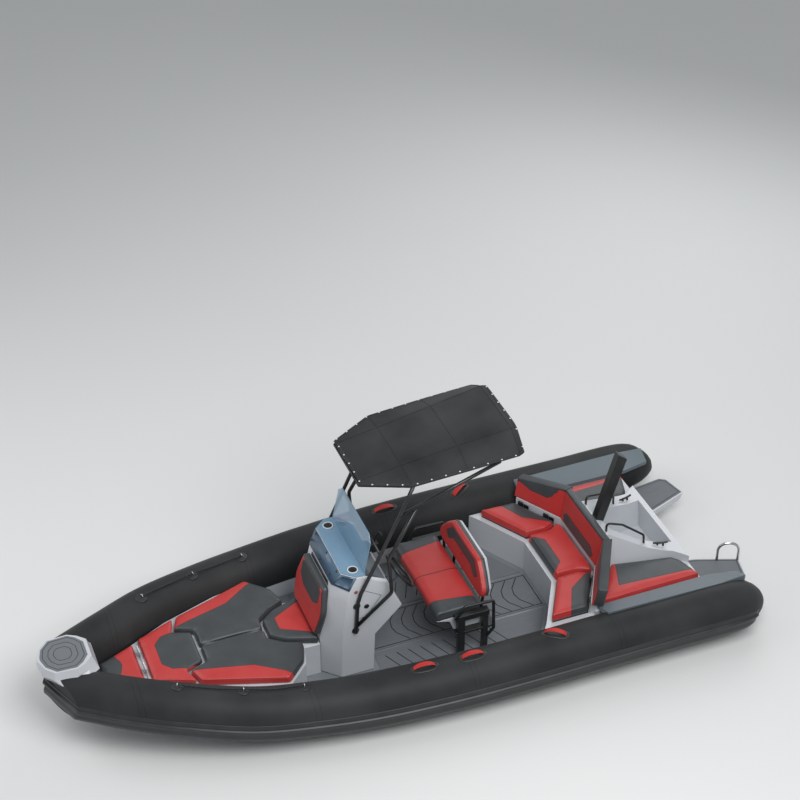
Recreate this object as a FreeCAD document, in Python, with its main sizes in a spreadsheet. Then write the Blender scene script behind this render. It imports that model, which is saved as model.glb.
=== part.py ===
import FreeCAD, Part
import math
import os

# Rigid inflatable boat, afloat. Millimetres: x runs forward from the transom, y to port,
# z up from the waterline.

V = FreeCAD.Vector
UP = V(0, 0, 1)
SIDES = (1, -1)

# Driving sizes: name, value in millimetres (or degrees, or a count), what it is
SIZES = (
    ("tube_radius", 238, "collar tube, straight part"),
    ("tube_out", 1116, "collar centre line from the middle plane"),
    ("tube_high", 298, "collar centre line above the water, straight part"),
    ("strake_proud", 24, "rib height of the rubbing strake"),
    ("seat_gap", 0.3, "running and seating gap between curved faces"),
    ("liner_high", 36, "cockpit sole above the hull's flat top"),
    ("mat_thick", 5, "foam deck mat"),
    ("keel_deep", 450, "keel below the water"),
    ("chine_out", 880, "chine from the middle plane"),
    ("bow_base_high", 392, "top of the bow locker moulding"),
    ("locker_floor", 205, "inside floor of the bow locker"),
    ("bow_cushion_high", 465, "top of the bow cushions"),
    ("lid_thick", 18, "locker lid panels"),
    ("cushion_gap", 14, "slot between neighbouring cushions"),
    ("cushion_round", 14, "radius on the top edges of cushions"),
    ("bow_hinge_x", 5160, "bow lid hinge line"),
    ("bow_hinge_high", 484, "bow lid hinge line above the water"),
    ("knuckle_radius", 7, "hinge barrel"),
    ("leaf_thick", 4, "hinge leaf"),
    ("seat_base_high", 375, "top of the aft seat moulding"),
    ("seat_cushion_high", 470, "top of the aft seat cushions"),
    ("seat_hinge_high", 480, "aft lid hinge line above the water"),
    ("back_foot_high", 500, "bottom of the aft backrests"),
    ("back_top_high", 828, "top of the centre backrest"),
    ("back_end_high", 700, "top of the side backrests at their outer end"),
    ("back_thick", 108, "aft backrests at their foot"),
    ("aft_deck_high", 425, "aft deck under the sun pads"),
    ("sun_pad_thick", 62, "sun pads"),
    ("well_front_high", 745, "front of the engine well coaming"),
    ("well_floor", 228, "engine well floor at the transom"),
    ("nose_high", 770, "top of the nose step without its mat"),
    ("console_half", 450, "half width of the console"),
    ("console_high", 1172, "console top under the screen"),
    ("screen_thick", 6, "windscreen sheet"),
    ("screen_high", 1560, "top edge of the windscreen"),
    ("wheel_radius", 176, "steering wheel to the middle of its rim"),
    ("wheel_rim", 15, "rim section radius"),
    ("wheel_rake", 35, "degrees the wheel face leans back"),
    ("top_tube", 17, "radius of the T-top tubes"),
    ("canopy_thick", 12, "canopy fabric on its frame"),
    ("seat_frame_tube", 15, "radius of the helm seat arm tubes"),
    ("helm_cushion_high", 580, "top of the helm cushion"),
    ("rail_radius", 11, "engine well rail tube"),
    ("hoop_radius", 13, "boarding hoop tube"),
    ("platform_high", 265, "swim platform top without its mat"),
    ("platform_thick", 95, "swim platform"),
    ("rope_radius", 7, "bow grab rope"),
)

doc = FreeCAD.newDocument("rib_boat")
sheet = doc.addObject("Spreadsheet::Sheet", "sizes")
for row, (alias, value, meaning) in enumerate(SIZES, start=1):
    sheet.set("A%d" % row, alias)
    sheet.set("B%d" % row, str(value))
    sheet.set("C%d" % row, meaning)
    sheet.setAlias("B%d" % row, alias)
doc.recompute()

NODES = []


def size(alias):
    return float(sheet.get(alias))


def keep(thing, node):
    thing.Label = node
    NODES.append(thing)
    return thing


def feature(node, shape):
    """A sub-part whose shape is worked out with solids directly."""
    thing = doc.addObject("Part::Feature", node)
    thing.Shape = shape
    return keep(thing, node)


def origin_plane(body, role):
    for part in body.Origin.OriginFeatures:
        if part.Role == role:
            return part
    raise RuntimeError("no plane " + role)


def slab(node, outlines, bottom, thick, rounded=None):
    """A flat panel or cushion: outlines padded upwards, with its top edges rounded."""
    body = doc.addObject("PartDesign::Body", node)
    corners = []
    sketch = body.newObject("Sketcher::SketchObject", node + "_outline")
    sketch.AttachmentSupport = [(origin_plane(body, "XY_Plane"), "")]
    sketch.MapMode = "FlatFace"
    sketch.setExpression("AttachmentOffset.Base.z", bottom)
    for outline in outlines:
        corners = [V(a, b, 0) for a, b in outline]
        lines = [Part.LineSegment(p, q) for p, q in zip(corners, corners[1:] + corners[:1])]
        sketch.addGeometry(lines)
    pad = body.newObject("PartDesign::Pad", node + "_pad")
    pad.Profile = sketch
    pad.setExpression("Length", thick)
    if rounded:
        doc.recompute()
        top = pad.Shape.BoundBox.ZMax
        names = ["Edge%d" % (i + 1) for i, edge in enumerate(pad.Shape.Edges)
                 if min(v.Z for v in edge.Vertexes) > top - 0.01]
        fillet = body.newObject("PartDesign::Fillet", node + "_round")
        fillet.Base = (pad, names)
        fillet.setExpression("Radius", rounded)
        body.Tip = fillet
    return keep(body, node)


def both_sides(outline):
    """Close a half outline (y positive, front to back) with its mirror image."""
    return outline + [(x, -y) for x, y in reversed(outline)]


def mirrored(shape):
    return shape.mirror(V(0, 0, 0), V(0, 1, 0))


def across(point):
    return V(point.x, -point.y, point.z)


def whole(half):
    """Close a half row of points with its mirror image, with points on the middle plane once."""
    return half + [across(p) for p in reversed(half) if p.y != 0]


def largest(shape):
    return max(shape.Solids, key=lambda solid: solid.Volume)


def polygon(points):
    return Part.makePolygon(points + points[:1])


def flat_face(points):
    return Part.Face(polygon(points))


def prism(outline, low, high):
    """A vertical prism from an (x, y) outline."""
    return flat_face([V(x, y, low) for x, y in outline]).extrude(V(0, 0, high - low))


def side_prism(outline, left, right):
    """A prism across the boat from an (x, z) outline."""
    return flat_face([V(x, left, z) for x, z in outline]).extrude(V(0, right - left, 0))


def patch(p, q, r, t):
    """Flat faces over four corners in turn: one face where they lie in a plane, or else two."""
    corners = [p, q, r, t]
    corners = [a for a, b in zip(corners, corners[1:] + corners[:1]) if (a - b).Length > 1e-6]
    if len(corners) < 3:
        return []
    if len(corners) == 3:
        return [flat_face(corners)]
    normal = (q - p).cross(t - p)
    if abs(normal.dot(r - p)) < 1e-7 * normal.Length:
        return [flat_face(corners)]
    return [flat_face([p, q, r]), flat_face([p, r, t])]


def closed_solid(faces):
    shell = Part.makeShell(faces)
    shell.sewShape()
    solid = Part.makeSolid(shell)
    if solid.Volume < 0:
        solid.reverse()
    return solid


def skin(rows, closed=False):
    """A solid with flat faces from row to row of points, capped at its ends or closed into a ring."""
    pairs = list(zip(rows, rows[1:]))
    faces = []
    if closed:
        pairs.append((rows[-1], rows[0]))
    else:
        faces = [flat_face(rows[0]), flat_face(rows[-1])]
    for row, ahead in pairs:
        for i in range(len(row)):
            faces += patch(row[i - 1], row[i], ahead[i], ahead[i - 1])
    return closed_solid(faces)


BEND_STEPS = 2
TUBE_SIDES = 8


def bend_points(points, bend):
    """A chain of points along straight runs joined by tangent arcs of radius bend."""
    chain = [points[0]]
    for before, corner, after in zip(points, points[1:], points[2:]):
        a = (before - corner).normalize()
        b = (after - corner).normalize()
        half = math.pi / 2 - a.getAngle(b) / 2
        centre = corner + (a + b).normalize() * (bend / math.cos(half))
        first = corner + a * (bend * math.tan(half)) - centre
        last = corner + b * (bend * math.tan(half)) - centre
        for step in range(BEND_STEPS + 1):
            turn = 2 * half * step / BEND_STEPS
            point = first * math.sin(2 * half - turn) + last * math.sin(turn)
            chain.append(centre + point * (1 / math.sin(2 * half)))
    chain.append(points[-1])
    return chain


def pipe(chain, radius, sides=TUBE_SIDES, closed=False):
    """A bar with flat sides along a chain of points, its section carried on without twist."""
    rows = []
    side = None
    for i, centre in enumerate(chain):
        heading = V(0, 0, 0)
        if i > 0 or closed:
            heading = heading + (centre - chain[i - 1]).normalize()
        if i < len(chain) - 1 or closed:
            heading = heading + (chain[(i + 1) % len(chain)] - centre).normalize()
        heading.normalize()
        if side is None:
            side = UP.cross(heading) if abs(heading.z) < 0.95 else V(1, 0, 0).cross(heading)
        side = (side - heading * side.dot(heading)).normalize()
        rise = heading.cross(side)
        turns = [2 * math.pi * k / sides for k in range(sides)]
        rows.append([centre + (side * math.cos(t) + rise * math.sin(t)) * radius for t in turns])
    return skin(rows, closed)


def bent_tube(points, radius, bend, sides=TUBE_SIDES):
    return pipe(bend_points(points, bend), radius, sides)


def rod(start, end, radius, sides=TUBE_SIDES):
    return pipe([start, end], radius, sides)


def hoop(centre, axis, wide, radius, steps=12, sides=6):
    """A closed ring of bar: wide is its radius to the middle of the bar."""
    first = axis.cross(V(0, 1, 0) if abs(axis.y) < 0.9 else UP).normalize()
    second = axis.cross(first).normalize()
    turns = [2 * math.pi * k / steps for k in range(steps)]
    return pipe([centre + (first * math.cos(t) + second * math.sin(t)) * wide for t in turns], radius,
                sides, True)


# Collar: centre line stations. Columns: x, inboard of the straight part, rise, slimmer radius
TUBE_STATIONS = (
    (-480, 41, -83, 186),
    (-432, 30, -62, 118),
    (-330, 14, -28, 48),
    (-140, 0, 0, 0),
    (1900, 0, 0, 0),
    (2600, 14, 0, 0),
    (3280, 62, 0, 2),
    (3830, 138, 10, 7),
    (4380, 250, 38, 11),
    (4925, 441, 106, 16),
    (5350, 651, 142, 20),
    (5640, 812, 178, 26),
    (6100, 1066, 232, 38),
)
# The tubes' blunt front: its side and middle corner in plan, port side
FRONT_SIDE = V(5835, 415, 0)
FRONT_MIDDLE = V(6015, 0, 0)
FRONT_NORMAL = (FRONT_SIDE - FRONT_MIDDLE).cross(UP).normalize()
FACET = 15


def tube_rings():
    """Centre, heading and radius of the port tube at each station."""
    centres = [V(x, size("tube_out") - inboard, size("tube_high") + rise)
               for x, inboard, rise, slim in TUBE_STATIONS]
    radii = [size("tube_radius") - slim for x, inboard, rise, slim in TUBE_STATIONS]
    runs = [(b - a).normalize() for a, b in zip(centres, centres[1:])]
    # the last length of tube is a plain cone, so both its rings face along it
    headings = [runs[0]] + [(a + b).normalize() for a, b in zip(runs, runs[1:-1])] + [runs[-1], runs[-1]]
    return list(zip(centres, headings, radii))


def ring_point(ring, angle, proud=0.0):
    """Point on a ring: angle in degrees, 0 outboard and 90 on top."""
    centre, heading, radius = ring
    out = UP.cross(heading).normalize()
    top = heading.cross(out)
    turn = math.radians(angle)
    return centre + (out * math.cos(turn) + top * math.sin(turn)) * (radius + proud)


def tube_at(x):
    """Tube centre y, centre z and radius at a given x, between stations."""
    for (xa, ia, ra, sa), (xb, ib, rb, sb) in zip(TUBE_STATIONS, TUBE_STATIONS[1:]):
        if xa <= x <= xb:
            share = (x - xa) / (xb - xa)
            inboard = ia + (ib - ia) * share
            rise = ra + (rb - ra) * share
            slim = sa + (sb - sa) * share
            return size("tube_out") - inboard, size("tube_high") + rise, size("tube_radius") - slim
    raise ValueError(x)


def tube_blank():
    """The port tube as flat panels, a facet every few degrees, cut off at its blunt front."""
    rows = [[ring_point(ring, -FACET * step) for step in range(360 // FACET)] for ring in tube_rings()]
    along = FRONT_SIDE - FRONT_MIDDLE
    near = FRONT_MIDDLE - along
    far = FRONT_MIDDLE + along * 2
    front = prism([(near.x, near.y), (far.x, far.y), (7000, far.y), (7000, near.y)], -500, 1500)
    return skin(rows).cut(front)


def past_middle(gap):
    """All that lies on the far side of the middle plane, or nearer to it than gap."""
    return Part.makeBox(2000, 1000, 2000, V(5000, gap - 1000, -500))


# Strake profile: angle round the tube, height as a share of the rib height
STRAKE_PROFILE = ((15, 0.15), (3.5, 0.2), (2, 1.0), (-2, 1.0), (-6, 0.45), (-12, 0.45), (-20, 1.0),
                  (-32, 1.0), (-36, 0.4), (-42, 0.15))
STRAKE_FOOT = (15, 0, -15, -30, -42)
STRAKE_FIRST_RING = 2
STRAKE_RISE = 8


def make_strake():
    """Double-ribbed rubber band on the port tube's outer side, turned round its blunt front."""
    rings = tube_rings()
    gap = size("seat_gap")
    profile = [(angle, gap) for angle in STRAKE_FOOT]
    profile += [(angle, size("strake_proud") * share) for angle, share in reversed(STRAKE_PROFILE)]
    rows = [[ring_point(ring, angle, proud) for angle, proud in profile]
            for ring in rings[STRAKE_FIRST_RING:-1]]
    corner = []
    middle = []
    for behind, (angle, proud) in zip(rows[-1], profile):
        run = ring_point(rings[-1], angle, proud) - behind
        reach = FRONT_NORMAL.dot(FRONT_MIDDLE) + proud
        turn = behind + run * ((reach - FRONT_NORMAL.dot(behind)) / FRONT_NORMAL.dot(run))
        corner.append(turn)
        middle.append(V((reach - FRONT_NORMAL.y * gap / 2) / FRONT_NORMAL.x, gap / 2, turn.z + STRAKE_RISE))
    return skin(rows + [corner, middle])


tube_shape = tube_blank()
collar = tube_shape.cut(past_middle(size("seat_gap") / 2))
strake = make_strake()
both_collars = [collar, mirrored(collar)]
feature("collar_port", collar)
feature("collar_starboard", both_collars[1])
feature("rub_strakes", Part.makeCompound([strake, mirrored(strake)]))
# the tubes up to the middle plane itself, which the nose and the stem are fitted to
half_tube = tube_shape.cut(past_middle(0))
both_tubes = [half_tube, mirrored(half_tube)]

# Hull: one station at each tube ring. Columns: x, keel raised, chine inboard, chine height, deck
HULL_STATIONS = (
    (0, 20, 0, -95, 0),
    (1900, 0, 0, -85, 0),
    (2600, 2, 18, -70, 0),
    (3280, 22, 68, -46, 0),
    (3830, 65, 130, -25, 0),
    (4380, 138, 288, 40, 72),
    (4925, 260, 455, 112, 152),
    (5350, 400, 605, 175, 235),
    (5640, 560, 730, 215, 312),
)
LIFT_STRAKES = (0.36, 0.68)
LIFT_STRAKE_WIDE = 34
CHINE_FLAT = 52
CHINE_TURN = 6
CHINE_POINT = 3 * len(LIFT_STRAKES) + 2
TUBE_SEAT = 0.5
SEAT_ANGLES = (-105, -120, -135, -150)
WALL_ANGLE = -158
# Stem under the blunt front. Columns: x, keel, chine out, chine height, seat out, seat height, top out
STEM = (
    (5628, 106, 153, 214.5, 241, 270, 95),
    (5890, 345, 22, 352, 40, 365, 22),
)
STEM_TOP = 430
STEM_HEAD = (5546, 5706, 100, 300)


def ring_near(x):
    """The tube ring whose station is at x, or a straight-run ring there."""
    for ring in tube_rings():
        if abs(ring[0].x - x) < 1:
            return ring
    return (V(x, size("tube_out"), size("tube_high")), V(1, 0, 0), size("tube_radius"))


def deck_foot(x, deck):
    """Foot of the hull's inner wall, straight under the point where it meets the tube."""
    top = ring_point(ring_near(x), WALL_ANGLE, TUBE_SEAT)
    return V(top.x, top.y, deck)


def hull_section(x, keel_up, chine_in, chine_z, deck):
    """Half section from the keel out to the chine, round the tube's seat and down to the deck."""
    keel_z = keel_up - size("keel_deep")
    chine_y = size("chine_out") - chine_in
    shrink = chine_y / size("chine_out")
    flat = CHINE_FLAT * shrink
    turn_z = chine_z - CHINE_TURN * shrink
    slope = (turn_z - keel_z) / (chine_y - flat)
    half = [V(x, 0, keel_z)]
    for share in LIFT_STRAKES:
        y = share * chine_y
        edge = y + LIFT_STRAKE_WIDE * shrink
        half += [V(x, y, keel_z + slope * y), V(x, edge, keel_z + slope * y),
                 V(x, edge, keel_z + slope * edge)]
    half += [V(x, chine_y - flat, turn_z), V(x, chine_y, chine_z)]
    ring = ring_near(x)
    half += [ring_point(ring, angle, TUBE_SEAT) for angle in SEAT_ANGLES + (WALL_ANGLE,)]
    half.append(deck_foot(x, deck))
    return half


def make_stem():
    """Wedge that carries the keel up to the groove between the tubes."""
    rows = []
    for x, keel, chine_out, chine_z, seat_out, seat_z, top_out in STEM:
        rows.append(whole([V(x, 0, keel), V(x, chine_out, chine_z), V(x, seat_out, seat_z),
                           V(x, top_out, STEM_TOP)]))
    first, last, half, low = STEM_HEAD
    head = Part.makeBox(last - first, 2 * half, STEM_TOP - low, V(first, -half, low))
    return largest(skin(rows).fuse(head).cut(both_tubes))


def make_hull():
    """Flat panels from station to station, closed by a flat transom and a folded bow face."""
    rows = [hull_section(*row) for row in HULL_STATIONS]
    faces = [flat_face(whole(rows[0]))]
    for row, ahead in zip(rows, rows[1:]):
        for i in range(1, len(row)):
            port = patch(row[i - 1], row[i], ahead[i], ahead[i - 1])
            faces += port + [mirrored(face) for face in port]
        faces.append(flat_face([row[-1], ahead[-1], across(ahead[-1]), across(row[-1])]))
    last = rows[-1]
    faces.append(flat_face(whole(last[:CHINE_POINT + 1])))
    for low, high in zip(last[CHINE_POINT:], last[CHINE_POINT + 1:]):
        faces.append(flat_face([low, high, across(high), across(low)]))
    return largest(closed_solid(faces).fuse(make_stem()).removeSplitter())


hull_shape = make_hull()
feature("hull", hull_shape)
DECK_FEET = [deck_foot(row[0], row[4]) for row in HULL_STATIONS]


def between(pairs, x):
    """Value at x on a broken line of (x, value) pairs."""
    for (xa, a), (xb, b) in zip(pairs, pairs[1:]):
        if xa <= x <= xb:
            return a + (b - a) * (x - xa) / (xb - xa)
    raise ValueError(x)


def deck_high(x):
    return between([(foot.x, foot.z) for foot in DECK_FEET], x)


def box_section(x, half, low, high):
    return [V(x, half, low), V(x, half, high), V(x, -half, high), V(x, -half, low)]


# Deck liner: the cockpit sole between the hull's inner walls, as far as the deck is level
LINER_FEET = DECK_FEET[:5]
LINER_SIDE_GAP = 3
liner_outline = both_sides([(foot.x, foot.y - LINER_SIDE_GAP) for foot in LINER_FEET])
slab("deck_liner", [liner_outline], "sizes.seat_gap", "sizes.liner_high - sizes.seat_gap")

# Bow locker moulding under the bow cushions. Columns: x, half width
BOW_BASE = ((3606, 318), (3752, 318), (3800, 505), (3995, 700), (4322, 640), (4846, 462), (5262, 250),
            (5535, 112))
LOCKER_WELL = ((5095, 150), (4860, 290), (4860, 225), (4710, 150))


def make_bow_base():
    gap = size("seat_gap")
    block = skin([box_section(x, half, deck_high(x) + gap, size("bow_base_high")) for x, half in BOW_BASE])
    well = prism(both_sides(list(LOCKER_WELL)), size("locker_floor"), size("bow_base_high") + 10)
    over_liner = Part.makeBox(LINER_FEET[-1].x + gap, 2000, size("liner_high") + gap, V(0, -1000, 0))
    return block.cut([well, over_liner])


feature("bow_locker", make_bow_base())

TIP_CUSHION = ((5535, 96), (5188, 240))
LID_CUSHION = ((5136, 285), (4768, 428), (4822, 262), (4655, 194))
BIG_CUSHION = ((4633, 7), (4633, 208), (4800, 278), (4742, 440), (4005, 690), (3812, 498), (3755, 330),
               (3755, 288), (3905, 224), (4032, 120), (4032, 7))
INFILL = ((4018, 113), (3898, 212), (3612, 312))
bow_thick = "sizes.bow_cushion_high - sizes.bow_base_high - sizes.seat_gap"
bow_seat = "sizes.bow_base_high + sizes.seat_gap"
slab("bow_tip_cushion", [both_sides(list(TIP_CUSHION))], bow_seat, bow_thick, "sizes.cushion_round")
slab("bow_cushions", [list(BIG_CUSHION), [(x, -y) for x, y in reversed(BIG_CUSHION)]], bow_seat,
     bow_thick, "sizes.cushion_round")
slab("console_seat_cushion", [both_sides(list(INFILL))], bow_seat, bow_thick, "sizes.cushion_round")
slab("bow_lid_cushion", [both_sides(list(LID_CUSHION))],
     "sizes.bow_base_high + sizes.lid_thick + 2 * sizes.seat_gap",
     "sizes.bow_cushion_high - sizes.bow_base_high - sizes.lid_thick - 2 * sizes.seat_gap",
     "sizes.cushion_round")


class HingeLine:
    """A hinge axis in plan, with unit vectors along it and towards its lid."""

    def __init__(self, start, end, high):
        self.start = V(start[0], start[1], high)
        self.end = V(end[0], end[1], high)
        self.along = (self.end - self.start).normalize()
        self.lid = self.along.cross(UP).normalize()

    def at(self, run, ahead, high):
        """Point a given run along the axis, distance towards the lid, and height."""
        place = self.start + self.along * run + self.lid * ahead
        return V(place.x, place.y, high)

    def plan(self, run, ahead):
        place = self.at(run, ahead, 0)
        return (place.x, place.y)


def knuckle(line, run, length, moving, foot):
    """One barrel piece with its leaf, which goes down to the height foot."""
    radius = size("knuckle_radius")
    leaf = size("leaf_thick")
    high = line.start.z
    start = line.at(run, 0, high)
    if moving:
        barrel = Part.makeCylinder(radius, length, start, line.along)
    else:
        barrel = rod(start, start + line.along * length, radius)
    side = 1 if moving else -1
    corners = [line.plan(run, side * (radius - leaf)), line.plan(run, side * radius),
               line.plan(run + length, side * radius), line.plan(run + length, side * (radius - leaf))]
    plate = prism(corners, foot, high)
    return barrel.fuse(plate)


def hinge_parts(line, places, length, foot_fixed, foot_moving):
    """Hinges at given runs along a line, each a fixed barrel and then a moving one."""
    fixed = [knuckle(line, run, length, False, foot_fixed) for run in places]
    beside = length + size("seat_gap")
    moving = [knuckle(line, run + beside, length, True, foot_moving) for run in places]
    return fixed, moving


# Bow locker lid: panel with hinge leaves, under the lid cushion
bow_line = HingeLine((size("bow_hinge_x"), -190), (size("bow_hinge_x"), 190), size("bow_hinge_high"))
# the lid lies behind this hinge line, so its sense is turned round
bow_line.lid = V(-1, 0, 0)
LID_PANEL = ((5153, 205), (4835, 350), (4840, 240), (4680, 178))
BOW_HINGES = (30, 254)
BOW_BARREL = 46


def make_bow_lid():
    low = size("bow_base_high") + size("seat_gap")
    panel = prism(both_sides(list(LID_PANEL)), low, low + size("lid_thick"))
    fixed, moving = hinge_parts(bow_line, BOW_HINGES, BOW_BARREL, low, low)
    return panel.fuse(moving).removeSplitter(), fixed


bow_lid, bow_hinges = make_bow_lid()
feature("bow_locker_lid", bow_lid)

# Aft seat. The side seats hinge on lines that run out and forward.
SEAT_HINGE = ((888, 334), (1172, 826))
seat_line = HingeLine(SEAT_HINGE[0], SEAT_HINGE[1], size("seat_hinge_high"))
SIDE_CUSHION = (seat_line.plan(78, 9), seat_line.plan(78, 135), (1270, 334), (1550, 822), (1180, 822))
SIDE_PANEL = (seat_line.plan(84, 4), seat_line.plan(84, 124), (1262, 345), (1532, 812),
              seat_line.plan(555, 4))
CENTRE_CUSHION = ((1262, 314), (1035, 316), seat_line.plan(58, 9), seat_line.plan(0, 9))
SEAT_HINGES = (100, 400)
SEAT_BARREL = 60
AFT_BASE = ((1300, 302), (1586, 800), (1640, 872), (1130, 872), (1120, 850), (756, 400))
SEAT_WELL = ((1000, 405), (1240, 405), (1450, 770), (1215, 770))
BACK_STEP = 132
BACK_STEP_END = 72


def make_aft_base():
    block = prism(both_sides(list(AFT_BASE)), size("liner_high") + size("seat_gap"), size("seat_base_high"))
    upstand_port = prism([seat_line.plan(-36, -BACK_STEP), seat_line.plan(0, -14),
                          seat_line.plan(560, -14), seat_line.plan(560, -BACK_STEP_END)],
                         size("seat_base_high"), size("back_foot_high") - size("seat_gap"))
    centre = prism([(757, 371), (884, 337), (884, -337), (757, -371)], size("seat_base_high"),
                   size("back_foot_high") - size("seat_gap"))
    block = block.fuse([upstand_port, mirrored(upstand_port), centre])
    well = prism(SEAT_WELL, size("liner_high") + 30, size("seat_base_high") + 10)
    block = block.cut([well, mirrored(well)])
    return largest(block.removeSplitter())


aft_base = make_aft_base()
feature("aft_seat_base", aft_base)

seat_fixed = []
for side, word in ((1, "port"), (-1, "starboard")):
    low = size("seat_base_high") + size("seat_gap")
    panel = prism(SIDE_PANEL, low, low + size("lid_thick"))
    fixed, moving = hinge_parts(seat_line, SEAT_HINGES, SEAT_BARREL, low, low)
    lid = panel.fuse(moving).removeSplitter()
    if side < 0:
        lid = mirrored(lid)
        fixed = [mirrored(shape) for shape in fixed]
    seat_fixed += fixed
    feature("seat_lid_" + word, lid)
    outline = [(x, side * y) for x, y in SIDE_CUSHION]
    slab("seat_cushion_" + word, [outline[::side]],
         "sizes.seat_base_high + sizes.lid_thick + 2 * sizes.seat_gap",
         "sizes.seat_cushion_high - sizes.seat_base_high - sizes.lid_thick - 2 * sizes.seat_gap",
         "sizes.cushion_round")
slab("seat_cushion_centre", [both_sides(list(CENTRE_CUSHION))], "sizes.seat_base_high + sizes.seat_gap",
     "sizes.seat_cushion_high - sizes.seat_base_high - sizes.seat_gap", "sizes.cushion_round")
feature("lid_hinges", Part.makeCompound(bow_hinges + seat_fixed))

# Aft backrests lean back from their foot behind the hinge lines
BACK_FOOT = 20
BACK_LEAN = 50
MITRE = 0.268


def side_back_section(run, top, mitre):
    """Outline of the port backrest across its length, sheared along the mitre at the inner end."""
    foot = size("back_foot_high")
    thick = size("back_thick")
    points = ((-BACK_FOOT, foot), (-BACK_FOOT - BACK_LEAN, top),
              (-BACK_FOOT - BACK_LEAN - 0.8 * thick, top), (-BACK_FOOT - thick, foot))
    return [seat_line.at(run + mitre * (ahead + BACK_FOOT), ahead, high) for ahead, high in points]


# corner of the foot line shared by the centre and side backrests, in plan
BACK_CORNER = (890, 377.4)
CENTRE_THICK = 78
side_back = skin([side_back_section(38.6, size("back_top_high"), MITRE),
                  side_back_section(590, size("back_end_high"), 0)])
centre_rows = []
for lean, thick_share, high in ((0, 0, "back_foot_high"), (1, 0, "back_top_high"), (1, 0.8, "back_top_high"),
                                (0, 1, "back_foot_high")):
    back = BACK_LEAN * lean + CENTRE_THICK * thick_share
    centre_rows.append((BACK_CORNER[0] - back, BACK_CORNER[1] - 2 + MITRE * back, size(high)))
centre_back = skin([[V(x, y, z) for x, y, z in centre_rows], [V(x, -y, z) for x, y, z in centre_rows]])
feature("aft_backrests", Part.makeCompound([side_back, centre_back, mirrored(side_back)]))

# Aft deck with the engine well between two sun pads
AFT_DECK = ((0, 872), (1129, 872), (1119, 850), (755.7, 400))
COAMING_FOOT = ((0, 575), (120, 475), (700, 352), (752, 340))
COAMING_TOP = ((0, 570), (110, 440), (690, 262), (752, 255))
COAMING_SLOPE = ((-50, 500), (0, 500), (197, 526), (352, 568), (712, 735), (850, 760))
# Engine well, open at the top. Columns: x, floor rise, half width at the floor, half width at the top
WELL = ((60, 0, 285, 395), (330, 32, 215, 330), (620, 242, 110, 200), (660, 332, 60, 150))
WELL_TOP = 800
SUN_PAD = ((728, 372), (140, 486), (76, 560), (4, 806), (1066, 822))


def make_aft_deck():
    low = size("liner_high") + size("seat_gap")
    deck = prism(both_sides(list(AFT_DECK)), low, size("aft_deck_high"))
    rise = size("well_front_high") - 735
    foot = [V(x, y, size("aft_deck_high") - 1) for x, y in both_sides(list(COAMING_FOOT))]
    top = [V(x, y, size("well_front_high") + 40) for x, y in both_sides(list(COAMING_TOP))]
    coaming = skin([foot, top])
    profile = [(x, z + (rise if x > 400 else 0)) for x, z in COAMING_SLOPE]
    above = side_prism(profile + [(850, 1200), (-50, 1200)], -700, 700)
    rows = []
    for x, floor, floor_half, top_half in WELL:
        high = size("well_floor") + floor
        rows.append([V(x, floor_half, high), V(x, top_half, WELL_TOP), V(x, -top_half, WELL_TOP),
                     V(x, -floor_half, high)])
    return largest(deck.fuse(coaming.cut(above)).cut([skin(rows), aft_base]).removeSplitter())


aft_deck = make_aft_deck()
feature("aft_deck", aft_deck)
slab("sun_pads", [list(SUN_PAD)[::-1], [(x, -y) for x, y in SUN_PAD]],
     "sizes.aft_deck_high + sizes.seat_gap", "sizes.sun_pad_thick - sizes.seat_gap", "sizes.cushion_round")

# Quarter fairings between the sun pads and the tubes. Columns: x, inner y, outer y, top rise
FAIRING = ((-330, 900, 1040, 0), (-60, 845, 1060, 0), (1090, 850, 1040, 0))


def make_fairing():
    sections = []
    for x, inner, outer, rise in FAIRING:
        sections.append([V(x, inner, 440), V(x, inner, 478), V(x, outer, 545), V(x, outer, 440)])
    return largest(skin(sections).cut([both_collars[0], aft_deck, aft_base]))


fairing = make_fairing()
feature("quarter_fairings", Part.makeCompound([fairing, mirrored(fairing)]))

# Swim platforms behind the transom
PLATFORM = ((-0.3, 350), (-110, 356), (-174, 390), (-583, 542), (-520, 800), (-455, 842), (-165, 805),
            (-0.3, 790))


def make_platform():
    top = size("platform_high")
    low = [V(x * 0.93, 560 + (y - 560) * 0.9, top - size("platform_thick")) for x, y in PLATFORM]
    high = [V(x, y, top) for x, y in PLATFORM]
    return skin([low, high]).cut(both_collars)


platform = make_platform()
feature("swim_platforms", Part.makeCompound([platform, mirrored(platform)]))

# Boarding hoop on the inner edge of the port platform
HOOP_FEET = ((-372, 490), (-560, 560))
HOOP_HIGH = 205


def make_hoop():
    base = size("platform_high") + size("mat_thick") + 2 * size("seat_gap")
    start = V(HOOP_FEET[0][0], HOOP_FEET[0][1], base)
    end = V(HOOP_FEET[1][0], HOOP_FEET[1][1], base)
    lift = V(0, 0, HOOP_HIGH)
    return bent_tube([start, start + lift, end + lift, end], size("hoop_radius"), 90)


feature("boarding_hoop", make_hoop())

# Foam mats on the sole, the nose and the platforms
SOLE_CENTRE = ((3080, 238), (1312, 238))
SOLE_SIDE = ((3560, 470), (3560, 780), (3262, 826), (2600, 866), (1900, 880), (1690, 870), (1345, 270),
             (3080, 262), (3080, 470))
side_mats = [list(SOLE_SIDE), [(x, -y) for x, y in reversed(SOLE_SIDE)]]
slab("deck_mats", [both_sides(list(SOLE_CENTRE))] + side_mats, "sizes.liner_high + sizes.seat_gap",
     "sizes.mat_thick")
inset = [(-20, 380), (-176, 412), (-562, 556), (-508, 786), (-452, 822), (-170, 786), (-20, 770)]
slab("platform_mats", [inset, [(x, -y) for x, y in reversed(inset)]],
     "sizes.platform_high + sizes.seat_gap", "sizes.mat_thick")

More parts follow.
